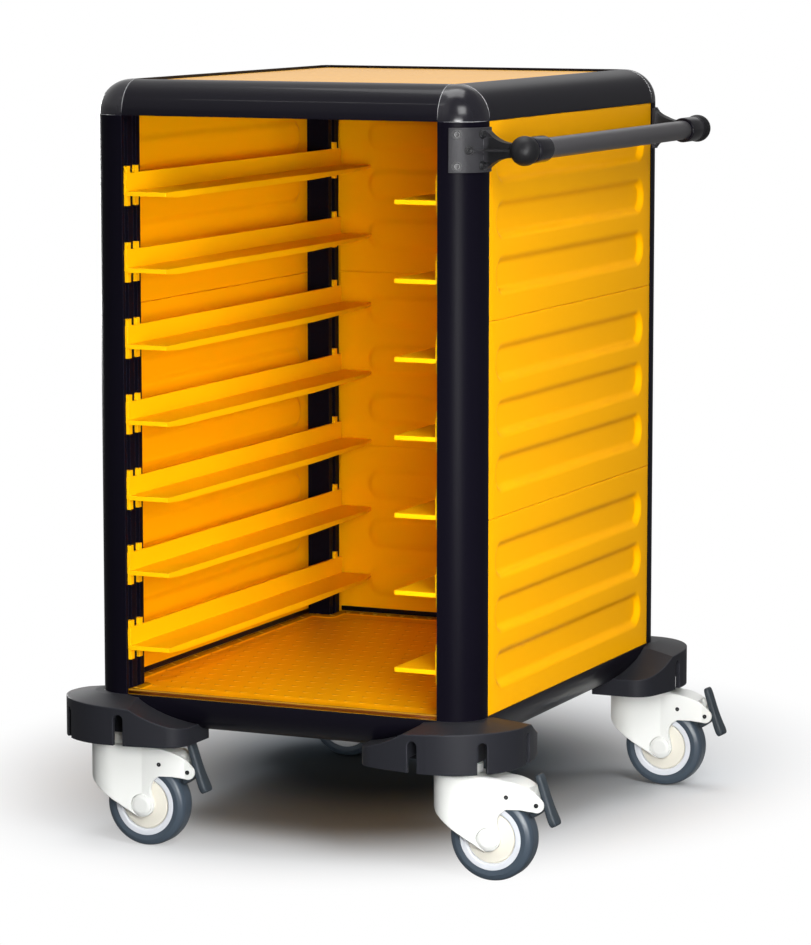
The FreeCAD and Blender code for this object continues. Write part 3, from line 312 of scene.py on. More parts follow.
@dataclass(frozen=True)
class Finish:
    """A painted, moulded or metal surface.

    Attributes:
        name: the material's name.
        slot: the record's material slot; not used.
        colour: base colour, linear.
        roughness: roughness of the surface.
        specular: specular level.
        metallic: 1 for bare metal.
        coat: weight of a clear glossy layer.
        coat_roughness: roughness of that layer.
        edge_radius: rounding of sharp edges, in metres.
        edge_highlight_and_wear: how much lighter the edges are, a painted highlight that stands
            partly for wear.
        clouding: size of the slow variation in brightness.
        clouding_scale: its scale, per metre.
        grain_depth: height of the fine grain, in metres.
        grain_scale: its scale, per metre.
        dust: amount of dust on faces that look up.
        dust_colour: its colour, linear.
    """

    name: str
    slot: str
    colour: Triple
    roughness: float = 0.4
    specular: float = 0.5
    metallic: float = 0.0
    coat: float = 0.0
    coat_roughness: float = 0.08
    edge_radius: float = 0.0008
    edge_highlight_and_wear: float = 0.25
    clouding: float = 0.08
    clouding_scale: float = 7.0
    grain_depth: float = 0.00002
    grain_scale: float = 900.0
    dust: float = 0.05
    dust_colour: Triple = (0.42, 0.41, 0.39)

    def build(self) -> bpy.types.Material:
        """Make the material.

        Returns:
            The finished material.
        """
        material = bpy.data.materials.new(self.name)
        material.use_nodes = True
        tree = material.node_tree
        edge = GROUPS.place(tree, Shade.SOFT_EDGE, Radius=self.edge_radius)
        cloud = GROUPS.place(tree, Shade.CLOUDING, Scale=self.clouding_scale, Amount=self.clouding)
        feed(tree, tree.nodes["Principled BSDF"], {
            "Base Color": self._colour(tree, edge, cloud),
            "Roughness": math_node(tree, "MULTIPLY", cloud.outputs["Factor"], self.roughness),
            "Normal": self._normal(tree, edge), "Metallic": self.metallic,
            "Specular IOR Level": self.specular, "Coat Weight": self.coat,
            "Coat Roughness": self.coat_roughness,
        })
        return material

    def _colour(self, tree: Tree, edge: Node, cloud: Node) -> Socket:
        """Base colour with clouding, painted highlights on the edges that stand partly for wear,
        and dust.

        Args:
            tree: the material's node tree.
            edge: the soft edge group.
            cloud: the clouding group.

        Returns:
            The colour's socket.
        """
        # painted highlight: edges are made lighter where the rounded normal turns, partly standing
        # for wear
        light = math_node(tree, "MULTIPLY", edge.outputs["Edge"], self.edge_highlight_and_wear)
        gain = math_node(tree, "ADD", cloud.outputs["Factor"], light)
        scaled = vector_math(tree, "SCALE", {0: self.colour, "Scale": gain}).outputs["Vector"]
        dust = GROUPS.place(tree, Shade.DUST, Amount=self.dust).outputs["Mask"]
        return mix_node(tree, dust, scaled, self.dust_colour)

    def _normal(self, tree: Tree, edge: Node) -> Socket:
        """Normal with the soft edges and the grain."""
        grain = GROUPS.place(tree, Shade.GRAIN, Scale=self.grain_scale)
        return self._bump(tree, grain, self.grain_depth, edge.outputs["Normal"])

    @staticmethod
    def _bump(tree: Tree, relief: Node, depth: float, normal: Socket) -> Socket:
        """A normal bent by a group's height, times the depth in metres."""
        inputs = {"Distance": depth, "Height": relief.outputs["Height"], "Normal": normal}
        return add_node(tree, "Bump", inputs).outputs["Normal"]


@dataclass(frozen=True)
class PaintedShadeFinish(Finish):
    """A finish with painted shade past a plane, such as on a rim or an arm.

    Attributes:
        axis: the axis across the plane.
        step_from: where the darker part begins, in metres.
        step_width: length of the change, in metres.
        painted_shade_gain: brightness of the part in painted shade.
    """

    axis: str = "Z"
    step_from: float = 0.0
    step_width: float = 0.0006
    painted_shade_gain: float = 0.4

    def _colour(self, tree: Tree, edge: Node, cloud: Node) -> Socket:
        """Base colour, darkened past the plane as painted shade."""
        # painted shade: past the plane the colour is scaled down
        span = self.step_from, self.step_from + self.step_width
        place = parts_of(tree, placed_at(tree))[self.axis]
        inputs = {0: super()._colour(tree, edge, cloud),
                  "Scale": ramp_node(tree, place, span, (1.0, self.painted_shade_gain))}
        return vector_math(tree, "SCALE", inputs).outputs["Vector"]


@dataclass(frozen=True)
class FleckedFinish(PaintedShadeFinish):
    """A sheet with small rolled flecks.

    Attributes:
        fleck_depth: height of a fleck, in metres.
        fleck_highlight_gain: how far a fleck's colour goes towards pale amber, a painted highlight
            on its hump.
        fleck_highlight_colour: that pale amber.
    """

    fleck_depth: float = 0.0012
    fleck_highlight_gain: float = 0.35
    fleck_highlight_colour: Triple = (1.0, 0.66, 0.06)

    def _colour(self, tree: Tree, edge: Node, cloud: Node) -> Socket:
        """Base colour, lighter and yellower on the flecks as a painted highlight."""
        plain = super()._colour(tree, edge, cloud)
        flecks = GROUPS.place(tree, Shade.FLECKS).outputs["Height"]
        # painted highlight on each fleck's hump
        share = math_node(tree, "MULTIPLY", flecks, self.fleck_highlight_gain)
        return mix_node(tree, share, plain, self.fleck_highlight_colour)

    def _normal(self, tree: Tree, edge: Node) -> Socket:
        """Normal with the grain and the flecks."""
        flecks = GROUPS.place(tree, Shade.FLECKS)
        return self._bump(tree, flecks, self.fleck_depth, super()._normal(tree, edge))


# The edge gains below paint highlights on the edges, partly standing for wear.
AMBER = (0.94, 0.42, 0.0008)
FRAME_BLACK = Finish(
    "satin_black_aluminium", "aluminium_black", (0.0035, 0.003, 0.006), 0.34, specular=0.08,
    coat=0.12, edge_highlight_and_wear=2.5, clouding=0.15, grain_depth=0.00001, dust=0.01)
POST_BLACK = replace(FRAME_BLACK, name="satin_black_post", specular=0.025, coat=0.0)
# Its high edge gain paints bright highlights on the cap's chamfers.
CAP_BLACK = Finish(
    "gloss_black_casting", "black_casting", (0.009, 0.0085, 0.012), 0.2, specular=0.34,
    edge_radius=0.0006, edge_highlight_and_wear=5.0, clouding=0.12, dust=0.01)
WALL_AMBER = Finish(
    "amber_wall_tile", "amber_wall", AMBER, 0.36, specular=0.03, edge_highlight_and_wear=0.03, clouding=0.05,
    clouding_scale=3.0, grain_depth=0.00001, dust=0.0)
TOP_AMBER = Finish(
    "amber_top_sheet", "amber_sheet", (0.93, 0.45, 0.02), 0.26, specular=0.4, grain_depth=0.0005,
    grain_scale=120.0)
# Above z = 183.8 mm the tray's rim is darkened, a painted reflection.
FLOOR_AMBER = FleckedFinish(
    "amber_floor_tray", "amber_floor", (0.97, 0.45, 0.002), 0.24, specular=0.3, edge_radius=0.0005,
    edge_highlight_and_wear=0.1, dust=0.0, step_from=0.1838, painted_shade_gain=0.3, fleck_depth=0.002)
# The bead's dark amber is painted shade on the tray's front lip.
SHADE_BEAD_AMBER = Finish(
    "painted_shade_bead", "amber_floor", (0.12, 0.03, 0.001), 0.2, specular=0.15, edge_highlight_and_wear=0.0,
    dust=0.0)
SLIDE_AMBER = Finish(
    "amber_slide", "amber_slide", (0.96, 0.48, 0.0015), 0.32, specular=0.12, edge_radius=0.0006,
    edge_highlight_and_wear=0.15, grain_depth=0.00001, dust=0.0)
TUBE_GREY = Finish("grey_handle_tube", "grey_tube", (0.05, 0.048, 0.052), 0.34, specular=0.4)
# Past x = 218 mm the arm is darkened as painted shade; the saddle, which faces the light, keeps the
# full colour.
BRACKET_GREY = PaintedShadeFinish(
    "grained_dark_bracket", "bumper_black", (0.03, 0.0295, 0.033), 0.46, specular=0.18,
    edge_radius=0.0008, edge_highlight_and_wear=1.6, clouding=0.5, clouding_scale=70.0, grain_depth=0.0002,
    grain_scale=420.0, dust=0.01, axis="X", step_from=0.218, step_width=0.004, painted_shade_gain=0.3)
# Its high edge gain paints a bright highlight on the ferrule's rim.
FERRULE_BLACK = Finish(
    "gloss_black_ferrule", "bumper_black", (0.005, 0.0045, 0.0075), 0.2, specular=0.14,
    edge_highlight_and_wear=6.0, dust=0.0)
# Its very high edge gain paints glints on the screw heads.
SCREW_DARK = Finish(
    "dark_screw", "screw_steel", (0.01, 0.01, 0.011), 0.34, specular=0.4, edge_radius=0.0003,
    edge_highlight_and_wear=14.0, dust=0.0)
# A pale grey for the beads that paint highlights on the caps' seams.
SEAM_HIGHLIGHT = Finish(
    "painted_seam_highlight", "black_casting", (0.38, 0.38, 0.39), 0.3, edge_highlight_and_wear=0.0, dust=0.0)
BUMPER_BLACK = Finish(
    "matte_black_bumper", "bumper_black", (0.0145, 0.015, 0.019), 0.5, specular=0.15,
    edge_radius=0.0022, edge_highlight_and_wear=1.1, grain_depth=0.00006, grain_scale=700.0, dust=0.03)
STEM_WHITE = Finish("pale_stem", "pale_steel", (0.66, 0.67, 0.65), 0.3, metallic=0.15)
CASTER_WHITE = Finish(
    "white_caster_nylon", "caster_white", (0.76, 0.77, 0.745), 0.35, specular=0.35,
    edge_radius=0.0016, edge_highlight_and_wear=0.0, clouding=0.03, dust=0.02)
DISC_CREAM = Finish("cream_wheel_disc", "core_grey", (0.74, 0.71, 0.62), 0.45, edge_highlight_and_wear=0.0)
RING_GREY = Finish("pale_grey_wheel_ring", "core_grey", (0.66, 0.68, 0.72), 0.4, edge_highlight_and_wear=0.0)
TYRE_SLATE = Finish(
    "slate_tyre", "tyre_grey", (0.048, 0.066, 0.088), 0.36, specular=0.45, edge_highlight_and_wear=0.1,
    grain_depth=0.00003, dust=0.06)
PEDAL_GREY = Finish(
    "dark_grey_pedal", "pedal_grey", (0.027, 0.036, 0.045), 0.5, specular=0.4, edge_radius=0.0015,
    edge_highlight_and_wear=2.4, clouding=0.7, clouding_scale=160.0, grain_depth=0.00008, dust=0.04)
PIN_DARK = Finish(
    "dark_steel_pin", "pedal_grey", (0.03, 0.031, 0.033), 0.3, metallic=0.6, edge_highlight_and_wear=1.0)


class Wardrobe:
    """Keeps the built materials and puts them on the CAD nodes and the new pieces."""

    def __init__(self) -> None:
        """Start with no material built."""
        self._built: dict[str, bpy.types.Material] = {}

    def material(self, finish: Finish) -> bpy.types.Material:
        """The material of a finish, built on first use."""
        if finish.name not in self._built:
            self._built[finish.name] = finish.build()
        return self._built[finish.name]

    def dress(self, node: str, finish: Finish) -> None:
        """Give a CAD node a finish.

        Args:
            node: the node's name.
            finish: its finish.
        """
        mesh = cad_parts[node].data
        mesh.materials.clear()
        mesh.materials.append(self.material(finish))
        LOG.info("%s wears %s", node, finish.name)

    def put_on(self, name: str, surface: Surface, body: str, finish: Finish,
               *replaced: str, weld: bool = False) -> None:
        """Make a new piece, finish it and fix it to its body.

        Args:
            name: the piece's name.
            surface: its points, in metres, and its faces.
            body: the CAD body that it rides on.
            finish: its finish.
            replaced: the CAD nodes that it stands for.
            weld: whether points in one place become one.
        """
        piece = mesh_object(name, *surface, weld)
        piece.data.materials.append(self.material(finish))
        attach(piece, body)
        if replaced:
            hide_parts(*replaced)
        LOG.info("%s rides on %s", piece.name, body)


WARDROBE = Wardrobe()


# ---------------------------------------------------------------- surfaces

def mesh_object(name: str, points: np.ndarray, faces: np.ndarray,
                weld: bool = False) -> bpy.types.Object:
    """Make a smooth-shaded object from quads.

    Args:
        name: the object's name.
        points: vertices, in metres.
        faces: four vertex numbers a face, seen anticlockwise from outside.
        weld: whether points in one place become one, as at the ends of a lofted bar.

    Returns:
        The new object, linked to the scene.
    """
    mesh = bpy.data.meshes.new(name)
    mesh.from_pydata(points.reshape(-1, 3).tolist(), [], faces.reshape(-1, 4).tolist())
    if weld:
        shape = bmesh.new()
        shape.from_mesh(mesh)
        bmesh.ops.remove_doubles(shape, verts=shape.verts, dist=1e-6)
        shape.to_mesh(mesh)
        shape.free()
    mesh.polygons.foreach_set("use_smooth", np.ones(len(mesh.polygons), bool))
    mesh.update()
    made = bpy.data.objects.new(name, mesh)
    bpy.context.scene.collection.objects.link(made)
    return made


def grid_faces(rows: int, columns: int, wrap_rows: bool = False,
               wrap_columns: bool = False) -> np.ndarray:
    """Quads of a grid whose points are numbered row by row.

    Args:
        rows: number of rows of points.
        columns: number of points in a row.
        wrap_rows: whether the last row joins the first.
        wrap_columns: whether each row's end joins its start.

    Returns:
        Four vertex numbers a face.
    """
    i = np.arange(rows if wrap_rows else rows - 1)[:, None]
    j = np.arange(columns if wrap_columns else columns - 1)[None, :]
    here, right = i * columns + j, i * columns + (j + 1) % columns
    over = (i + 1) % rows * columns
    quads = np.stack([here, right, over + (j + 1) % columns, over + j], axis=-1)
    return quads.reshape(-1, 4)


def slab(front: np.ndarray, back: np.ndarray,
         keep: "np.ndarray | None" = None) -> Surface:
    """A closed plate between two grids of the same shape.

    An edge that only one front face has is the plate's rim, and gets a wall to the back. Points
    that no face uses are left out.

    Args:
        front: front face's points, rows by columns, anticlockwise seen from outside.
        back: back face's points, in the same order as the front's.
        keep: which of the grid's cells the plate has; all of them where it is left out.

    Returns:
        Points and faces.
    """
    count = front[..., 0].size
    faces = grid_faces(*front.shape[:2])
    if keep is not None:
        faces = faces[keep.reshape(-1)]
    edges = np.stack([faces, np.roll(faces, -1, axis=1)], axis=-1).reshape(-1, 2)
    key = edges.min(axis=1) * count + edges.max(axis=1)
    _, first, times = np.unique(key, return_index=True, return_counts=True)
    here, ahead = edges[first[times == 1]].T
    walls = np.stack([ahead, here, here + count, ahead + count], axis=-1)
    faces = np.concatenate([faces, faces[:, ::-1] + count, walls])
    used, faces = np.unique(faces, return_inverse=True)
    points = np.concatenate([front.reshape(-1, 3), back.reshape(-1, 3)])
    return points[used], faces.reshape(-1, 4)


def turned(profile: np.ndarray, centre: Triple, along: int,
           steps: int = 96, socket: Point = (0.0, 0.0)) -> Surface:
    """A closed turned surface: a closed profile carried round an axis.

    A point (a, r) of the profile goes to the centre plus a along the axis, plus r times the
    cosine and sine of the turn in the plane across it. Radii in the socket's range are those of
    a hexagon's corners, and shrink to its flats by the cosine of 30 degrees over that of the
    angle from the nearest flat's middle.

    Args:
        profile: closed line of (along, radius) in millimetres, anticlockwise.
        centre: a point on the axis, in millimetres.
        along: 0, 1 or 2 for an axis along x, y or z.
        steps: number of steps round the axis.
        socket: least and greatest radius of the rows that are hexagons.

    Returns:
        Points in metres and faces.
    """
    turn = np.linspace(0.0, 2.0 * math.pi, steps, endpoint=False)[:, None]
    reach, radius = profile[None, :, 0], profile[None, :, 1]
    flat = math.cos(math.pi / 6) / np.cos(turn % (math.pi / 3) - math.pi / 6)
    hexed = (radius > socket[0]) & (radius < socket[1])
    radius = np.where(hexed, radius * flat, radius)
    points = np.empty((steps, len(profile), 3))
    points[..., along] = reach
    points[..., (along + 1) % 3] = radius * np.cos(turn)
    points[..., (along + 2) % 3] = radius * np.sin(turn)
    points += np.array(centre)
    return points * MM, grid_faces(steps, len(profile), wrap_rows=True, wrap_columns=True)


def rounded_line(corners: list[Triple], steps: int = 6) -> np.ndarray:
    """A closed line with each corner rounded by an arc.

    An arc of radius r starts r times the tangent of half the turn before the corner and ends as
    far after it; its points turn evenly about the arc's centre.

    Args:
        corners: (x, y, radius) of each corner, anticlockwise.
        steps: steps along each arc.

    Returns:
        Points of the line.
    """
    spots = np.array([corner[:2] for corner in corners])
    radii = np.array([corner[2] for corner in corners])
    before = spots - np.roll(spots, 1, axis=0)
    after = np.roll(spots, -1, axis=0) - spots
    start = np.arctan2(before[:, 1], before[:, 0])
    swing = (np.arctan2(after[:, 1], after[:, 0]) - start + math.pi) % (2 * math.pi) - math.pi
    hand = np.sign(swing)
    setback = radii * np.tan(np.abs(swing) / 2)
    ahead = np.stack([np.cos(start), np.sin(start)], axis=-1)
    aside = np.stack([-np.sin(start), np.cos(start)], axis=-1) * hand[:, None]
    centre = spots - ahead * setback[:, None] + aside * radii[:, None]
    share = np.linspace(0.0, 1.0, steps + 1)
    angle = swing[:, None] * share[None, :] - hand[:, None] * math.pi / 2 + start[:, None]
    rim = np.stack([np.cos(angle), np.sin(angle)], axis=-1) * radii[:, None, None]
    return (centre[:, None, :] + rim).reshape(-1, 2)


def lofted(knots: np.ndarray, thicks: Triple, widths: Triple, centre: Triple,
           rows: int = 28, steps: int = 40) -> Surface:
    """A closed bar: a rounded section carried along a flat, smooth spine.

    The spine is a quadratic or cubic through the knots in the x-z plane. Its section is a
    superellipse of power 4, half the thickness across the spine and half the width along y, both
    quadratics through their values at the start, the middle and the end of the way.
    Both fall to nothing at the ends by the sixth root of one less the sixth power of the
    distance from the middle.

    Args:
        knots: three or four points of the spine, in millimetres from the centre.
        thicks: the bar's thickness at the start, the middle and the end.
        widths: its width along y in the same places.
        centre: where the knots are measured from.
        rows: number of sections.
        steps: number of points round a section.

    Returns:
        Points in metres and faces.
    """
    share = (1.0 - np.cos(np.linspace(0.0, math.pi, rows))) / 2.0
    at = np.linspace(0.0, 1.0, len(knots))
    curves = [np.polyfit(at, knots[:, axis], len(knots) - 1) for axis in (0, 1)]
    spine = np.stack([np.polyval(curve, share) for curve in curves], axis=-1)
    ahead = np.stack([np.polyval(np.polyder(curve), share) for curve in curves], axis=-1)
    ahead /= np.linalg.norm(ahead, axis=1, keepdims=True)
    turn = np.linspace(0.0, 2.0 * math.pi, steps, endpoint=False)
    across = np.sign(np.cos(turn)) * np.sqrt(np.abs(np.cos(turn)))
    aside = np.sign(np.sin(turn)) * np.sqrt(np.abs(np.sin(turn)))
    full = np.maximum(1.0 - np.abs(2.0 * share - 1.0) ** 6, 0.0) ** (1 / 6)
    thick, width = (np.polyval(np.polyfit((0.0, 0.5, 1.0), sizes, 2), share)[:, None]
                    for sizes in (thicks, widths))
    half = full[:, None] * across[None, :] * thick / 2
    x = spine[:, :1] - ahead[:, 1:] * half
    z = spine[:, 1:] + ahead[:, :1] * half
    y = full[:, None] * aside[None, :] * width / 2
    points = np.stack([x, y, z], axis=-1) + np.array(centre)
    return points * MM, grid_faces(rows, steps, wrap_columns=True)


def arc_bead(centre: np.ndarray, first: np.ndarray, second: np.ndarray, radius: float,
             thickness: float, rows: int = 24, steps: int = 8) -> Surface:
    """A thin round bead along a quarter circle, its ends drawn in to points.

    The bead's middle is the centre plus the radius times the cosine of the way along the first
    direction and its sine along the second. Round it goes a circle in the plane of that radius
    and the arc's axis, as thick as the square root of the sine of twice the way.

    Args:
        centre: the quarter circle's centre.
        first: unit vector to the quarter's start.
        second: unit vector to its end.
        radius: its radius.
        thickness: the bead's thickness.
        rows: number of sections along it.
        steps: number of points round a section.

    Returns:
        Points in millimetres and faces.
    """
    way = np.linspace(0.0, math.pi / 2, rows)[:, None, None]
    turn = np.linspace(0.0, 2.0 * math.pi, steps, endpoint=False)[None, :, None]
    out = np.cos(way) * first + np.sin(way) * second
    axis = np.cross(first, second)
    half = thickness / 2 * np.sqrt(np.maximum(np.sin(2.0 * way), 0.0))
    points = centre + out * (radius + half * np.cos(turn)) + axis * half * np.sin(turn)
    return points, grid_faces(rows, steps, wrap_columns=True)[:, ::-1]


def join(parts: list[Surface]) -> Surface:
    """Several closed surfaces as one mesh.

    Args:
        parts: points and faces of each.

    Returns:
        All points, and all faces with their numbers moved on.
    """
    counts = [len(points.reshape(-1, 3)) for points, _ in parts]
    starts = np.concatenate([[0], np.cumsum(counts)[:-1]])
    points = np.concatenate([points.reshape(-1, 3) for points, _ in parts])
    faces = np.concatenate([faces + start for (_, faces), start in zip(parts, starts)])
    return points, faces


def smooth_step(value: np.ndarray) -> np.ndarray:
    """3t^2 - 2t^3 of a value held between 0 and 1."""
    t = np.clip(value, 0.0, 1.0)
    return t * t * (3.0 - 2.0 * t)


def spread(x: np.ndarray, y: np.ndarray, z: "np.ndarray | float") -> np.ndarray:
    """Points from grids of their coordinates, where a plain number holds for all of them."""
    return np.stack(np.broadcast_arrays(x, y, z), axis=-1)


def mirrored(line: np.ndarray) -> np.ndarray:
    """The mirror image of a closed profile across the axis's zero, run the same way round."""
    return (line * np.array([-1.0, 1.0]))[::-1]


def in_frame(points: np.ndarray) -> np.ndarray:
    """Millimetres from the carcass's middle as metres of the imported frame."""
    return (points + np.array([CARCASS_SHIFT, 0.0, 0.0])) * MM


# ---------------------------------------------------------------- carcass

@dataclass
class Carcass:
    """Posts, rails, corner pieces and slides of the CAD frame, the top sheet and pale beads that
    paint highlights on the seams.
    """

    finishes: dict[str, Finish] = field(default_factory=lambda: {
        "post_": POST_BLACK, "top_rail_": FRAME_BLACK, "bottom_rail_": FRAME_BLACK,
        "top_corner_caps": CAP_BLACK, "bottom_corner_blocks": CAP_BLACK,
        "tray_slides_": SLIDE_AMBER,
    })
    half: Point = (240.0, 300.0)
    cap: float = 44.0
    edge_radius: float = 38.0
    height: float = 890.0
    panel_half: Point = (199.7, 259.7)
    panel_levels: Point = (886.05, 886.9)
    ripple: float = 0.25
    ripple_waves: tuple[Point, Point] = ((7.0, 1.3), (9.0, 0.4))
    post_seam: float = 850.0
    rail_highlight_bead: float = 0.8
    post_highlight_bead: float = 0.6

    def dress(self) -> None:
        """Put each finish on the nodes whose names start with its key."""
        for start, finish in self.finishes.items():
            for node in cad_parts:
                if node.startswith(start):
                    WARDROBE.dress(node, finish)

    def build(self) -> None:
        """Build the top sheet in its rebate and the pale beads round the caps, painted highlights
        on their seams.
        """
        WARDROBE.put_on("top_sheet", self._top_sheet(), "cart", TOP_AMBER, "top_panel")
        # pale beads as painted highlights on the cap seams
        WARDROBE.put_on("cap_seam_highlights", self._seam_highlights(), "cart", SEAM_HIGHLIGHT, weld=True)

    def _top_sheet(self) -> Surface:
        """A thin sheet with a slow ripple of two crossed sines, flat at its edges."""
        x, y = np.meshgrid(np.linspace(-1.0, 1.0, 61), np.linspace(-1.0, 1.0, 61))
        calm = (1.0 - x ** 8) * (1.0 - y ** 8)
        waves = [np.sin(pace * way + start)
                 for way, (pace, start) in zip((x, y), self.ripple_waves)]
        low, high = self.panel_levels
        x, y = x * self.panel_half[0], y * self.panel_half[1]
        top = high + self.ripple * calm * waves[0] * waves[1]
        points, faces = slab(spread(x, y, top), spread(x, y, low))
        return in_frame(points), faces

    def _seam_highlights(self) -> Surface:
        """Three quarter-circle pale beads round each cap, painted highlights on its seams with both
        its rails and its post.
        """
        up, r = np.array([0.0, 0.0, 1.0]), self.edge_radius
        beads = []
        for x in (-1.0, 1.0):
            for y in (-1.0, 1.0):
                aside, ahead = np.array([x, 0.0, 0.0]), np.array([0.0, y, 0.0])
                in_x, in_y = x * (self.half[0] - r), y * (self.half[1] - r)
                seam_x, seam_y = x * (self.half[0] - self.cap), y * (self.half[1] - self.cap)
                for place, first, second, thickness in (
                        ((seam_x, in_y, self.height - r), ahead, up, self.rail_highlight_bead),
                        ((in_x, seam_y, self.height - r), aside, up, self.rail_highlight_bead),
                        ((in_x, in_y, self.post_seam), aside, ahead, self.post_highlight_bead)):
                    beads.append(arc_bead(np.array(place), first, second, r, thickness))
        points, faces = join(beads)
        return in_frame(points), faces


class Wall(Enum):
    """The three walls, by the side of the carcass that they close."""

    LEFT = "left"
    RIGHT = "right"
    BACK = "back"


@dataclass
class PressedTiles:
    """Wall tiles with three soft oblongs pressed in from outside and standing proud inside."""

    rows: tuple[str, ...] = ("lower", "middle", "upper")
    zone_bottom: float = 180.0
    zone_height: float = 670.0
    gap: float = 0.3
    carcass: Point = (480.0, 600.0)
    post: float = 44.0
    recess: float = 1.0
    side_thickness: float = 13.8
    back_thickness: float = 8.1
    oblong_height: float = 44.0
    oblong_pitch: float = 62.6
    side_margin: float = 22.0
    back_margin: float = 38.0
    side_press: float = 6.0
    back_press: float = 3.5
    bulge: float = 3.5
    slope: float = 9.0
    edge: float = 0.9
    tongue: float = 4.6
    tongue_depths: Point = (3.3, 7.7)
    top_tongue: float = 4.4
    back_tongue_loss: float = 1.3
    overlap: float = 1.0
    finish: Finish = WALL_AMBER

    def build(self) -> None:
        """Build the nine tiles, each in place of its node."""
        for wall in Wall:
            for row, name in enumerate(self.rows):
                node = f"{wall.value}_wall_{name}"
                WARDROBE.put_on(f"{node}_pressed", self._tile(wall, row), "cart", self.finish, node)

    def _tile(self, wall: Wall, row: int) -> Surface:
        """One tile's plate, end tongues and top tongue.

        Args:
            wall: the wall that it belongs to.
            row: its row, counted from the floor.

        Returns:
            Points in metres and faces.
        """
        side = wall is not Wall.BACK
        width = (self.carcass[1] if side else self.carcass[0]) - 2 * (self.post + self.gap)
        height = self.zone_height / len(self.rows) - self.gap
        thickness = self.side_thickness if side else self.back_thickness
        base = self.zone_bottom + self.gap / 2 + row * self.zone_height / len(self.rows)
        across, up = self._lines(width, height)
        press, bulge = self._relief(across, up, width, height, side)
        half = width / 2
        reach = half + self.tongue - (0.0 if side else self.back_tongue_loss)
        strips = [(-reach, self.overlap - half, 0.0, height),
                  (half - self.overlap, reach, 0.0, height)]
        if row < len(self.rows) - 1:
            strips.append((-half, half, height - self.overlap, height + self.top_tongue))
        plate = slab(spread(across, up, press), spread(across, up, thickness + bulge))
        points, faces = join([plate] + [self._strip(*sizes) for sizes in strips])
        return self._set(points, wall, base), faces

    def _lines(self, width: float, height: float) -> Surface:
        """Grid over a tile, with lines close together where an edge or a slope is.

        Args:
            width: the tile's length.
            height: its height.

        Returns:
            Distances from the tile's middle, and heights above its foot, as two grids.
        """
        edge = self.edge * (1 - np.cos(np.linspace(0, math.pi / 2, 5)))
        margin = self.side_margin - 1
        ends = np.linspace(margin, margin + self.oblong_height / 2 + 4, 26)
        span = np.linspace(ends[-1] + 12, width - ends[-1] - 12, 12)
        x = np.unique(np.concatenate([edge, ends, span, width - ends, width - edge])) - width / 2
        z = np.unique(np.concatenate([edge, np.linspace(edge[-1] + 2, height - edge[-1] - 2, 90),
                                      height - edge]))
        return np.meshgrid(x, z)

    def _relief(self, across: np.ndarray, up: np.ndarray, width: float, height: float,
                side: bool) -> Surface:
        """Depth of the outer face and height of the inner one.

        The distance into an oblong is its radius less the distance to its middle line. A smooth
        step of that distance over the slope presses the face in. Near the tile's edge the face
        falls away along a quarter circle.

        Args:
            across: distances from the tile's middle.
            up: heights above its foot.
            width: the tile's length.
            height: its height.
            side: whether it is a side tile.

        Returns:
            Depth below the outer plane, and height above the inner plane.
        """
        radius = self.oblong_height / 2
        margin = self.side_margin if side else self.back_margin
        half = width / 2 - margin - radius
        rows = height / 2 + self.oblong_pitch * np.array([-1.0, 0.0, 1.0])
        beyond = np.maximum(np.abs(across) - half, 0.0)
        distance = np.hypot(beyond[..., None], up[..., None] - rows).min(axis=-1)
        pressed = smooth_step((radius - distance) / self.slope)
        border = np.minimum(np.minimum(width / 2 - np.abs(across), up), height - up)
        lost = self.edge - np.clip(border, 0.0, self.edge)
        fall = self.edge - np.sqrt(np.maximum(self.edge ** 2 - lost ** 2, 0.0))
        depth = self.side_press if side else self.back_press
        return depth * pressed + fall, self.bulge * pressed - fall

    def _strip(self, left: float, right: float, bottom: float, top: float) -> Surface:
        """A plain closed strip between the tongues' two depths."""
        across, up = np.meshgrid([left, right], [bottom, top])
        return slab(*(spread(across, up, depth) for depth in self.tongue_depths))

    def _set(self, points: np.ndarray, wall: Wall, base: float) -> np.ndarray:
        """Stand a tile drawn as (across, up, depth) in its wall.

        Args:
            points: the drawn points, in millimetres, depth measured inwards.
            wall: the wall that it belongs to.
            base: height of its foot.

        Returns:
            Points in metres.
        """
        across, up, depth = points[:, 0], points[:, 1] + base, points[:, 2] + self.recess
        if wall is Wall.BACK:
            placed = [-across, self.carcass[1] / 2 - depth, up]
        elif wall is Wall.RIGHT:
            placed = [self.carcass[0] / 2 - depth, across, up]
        else:
            placed = [depth - self.carcass[0] / 2, -across, up]
        return in_frame(np.stack(placed, axis=-1))


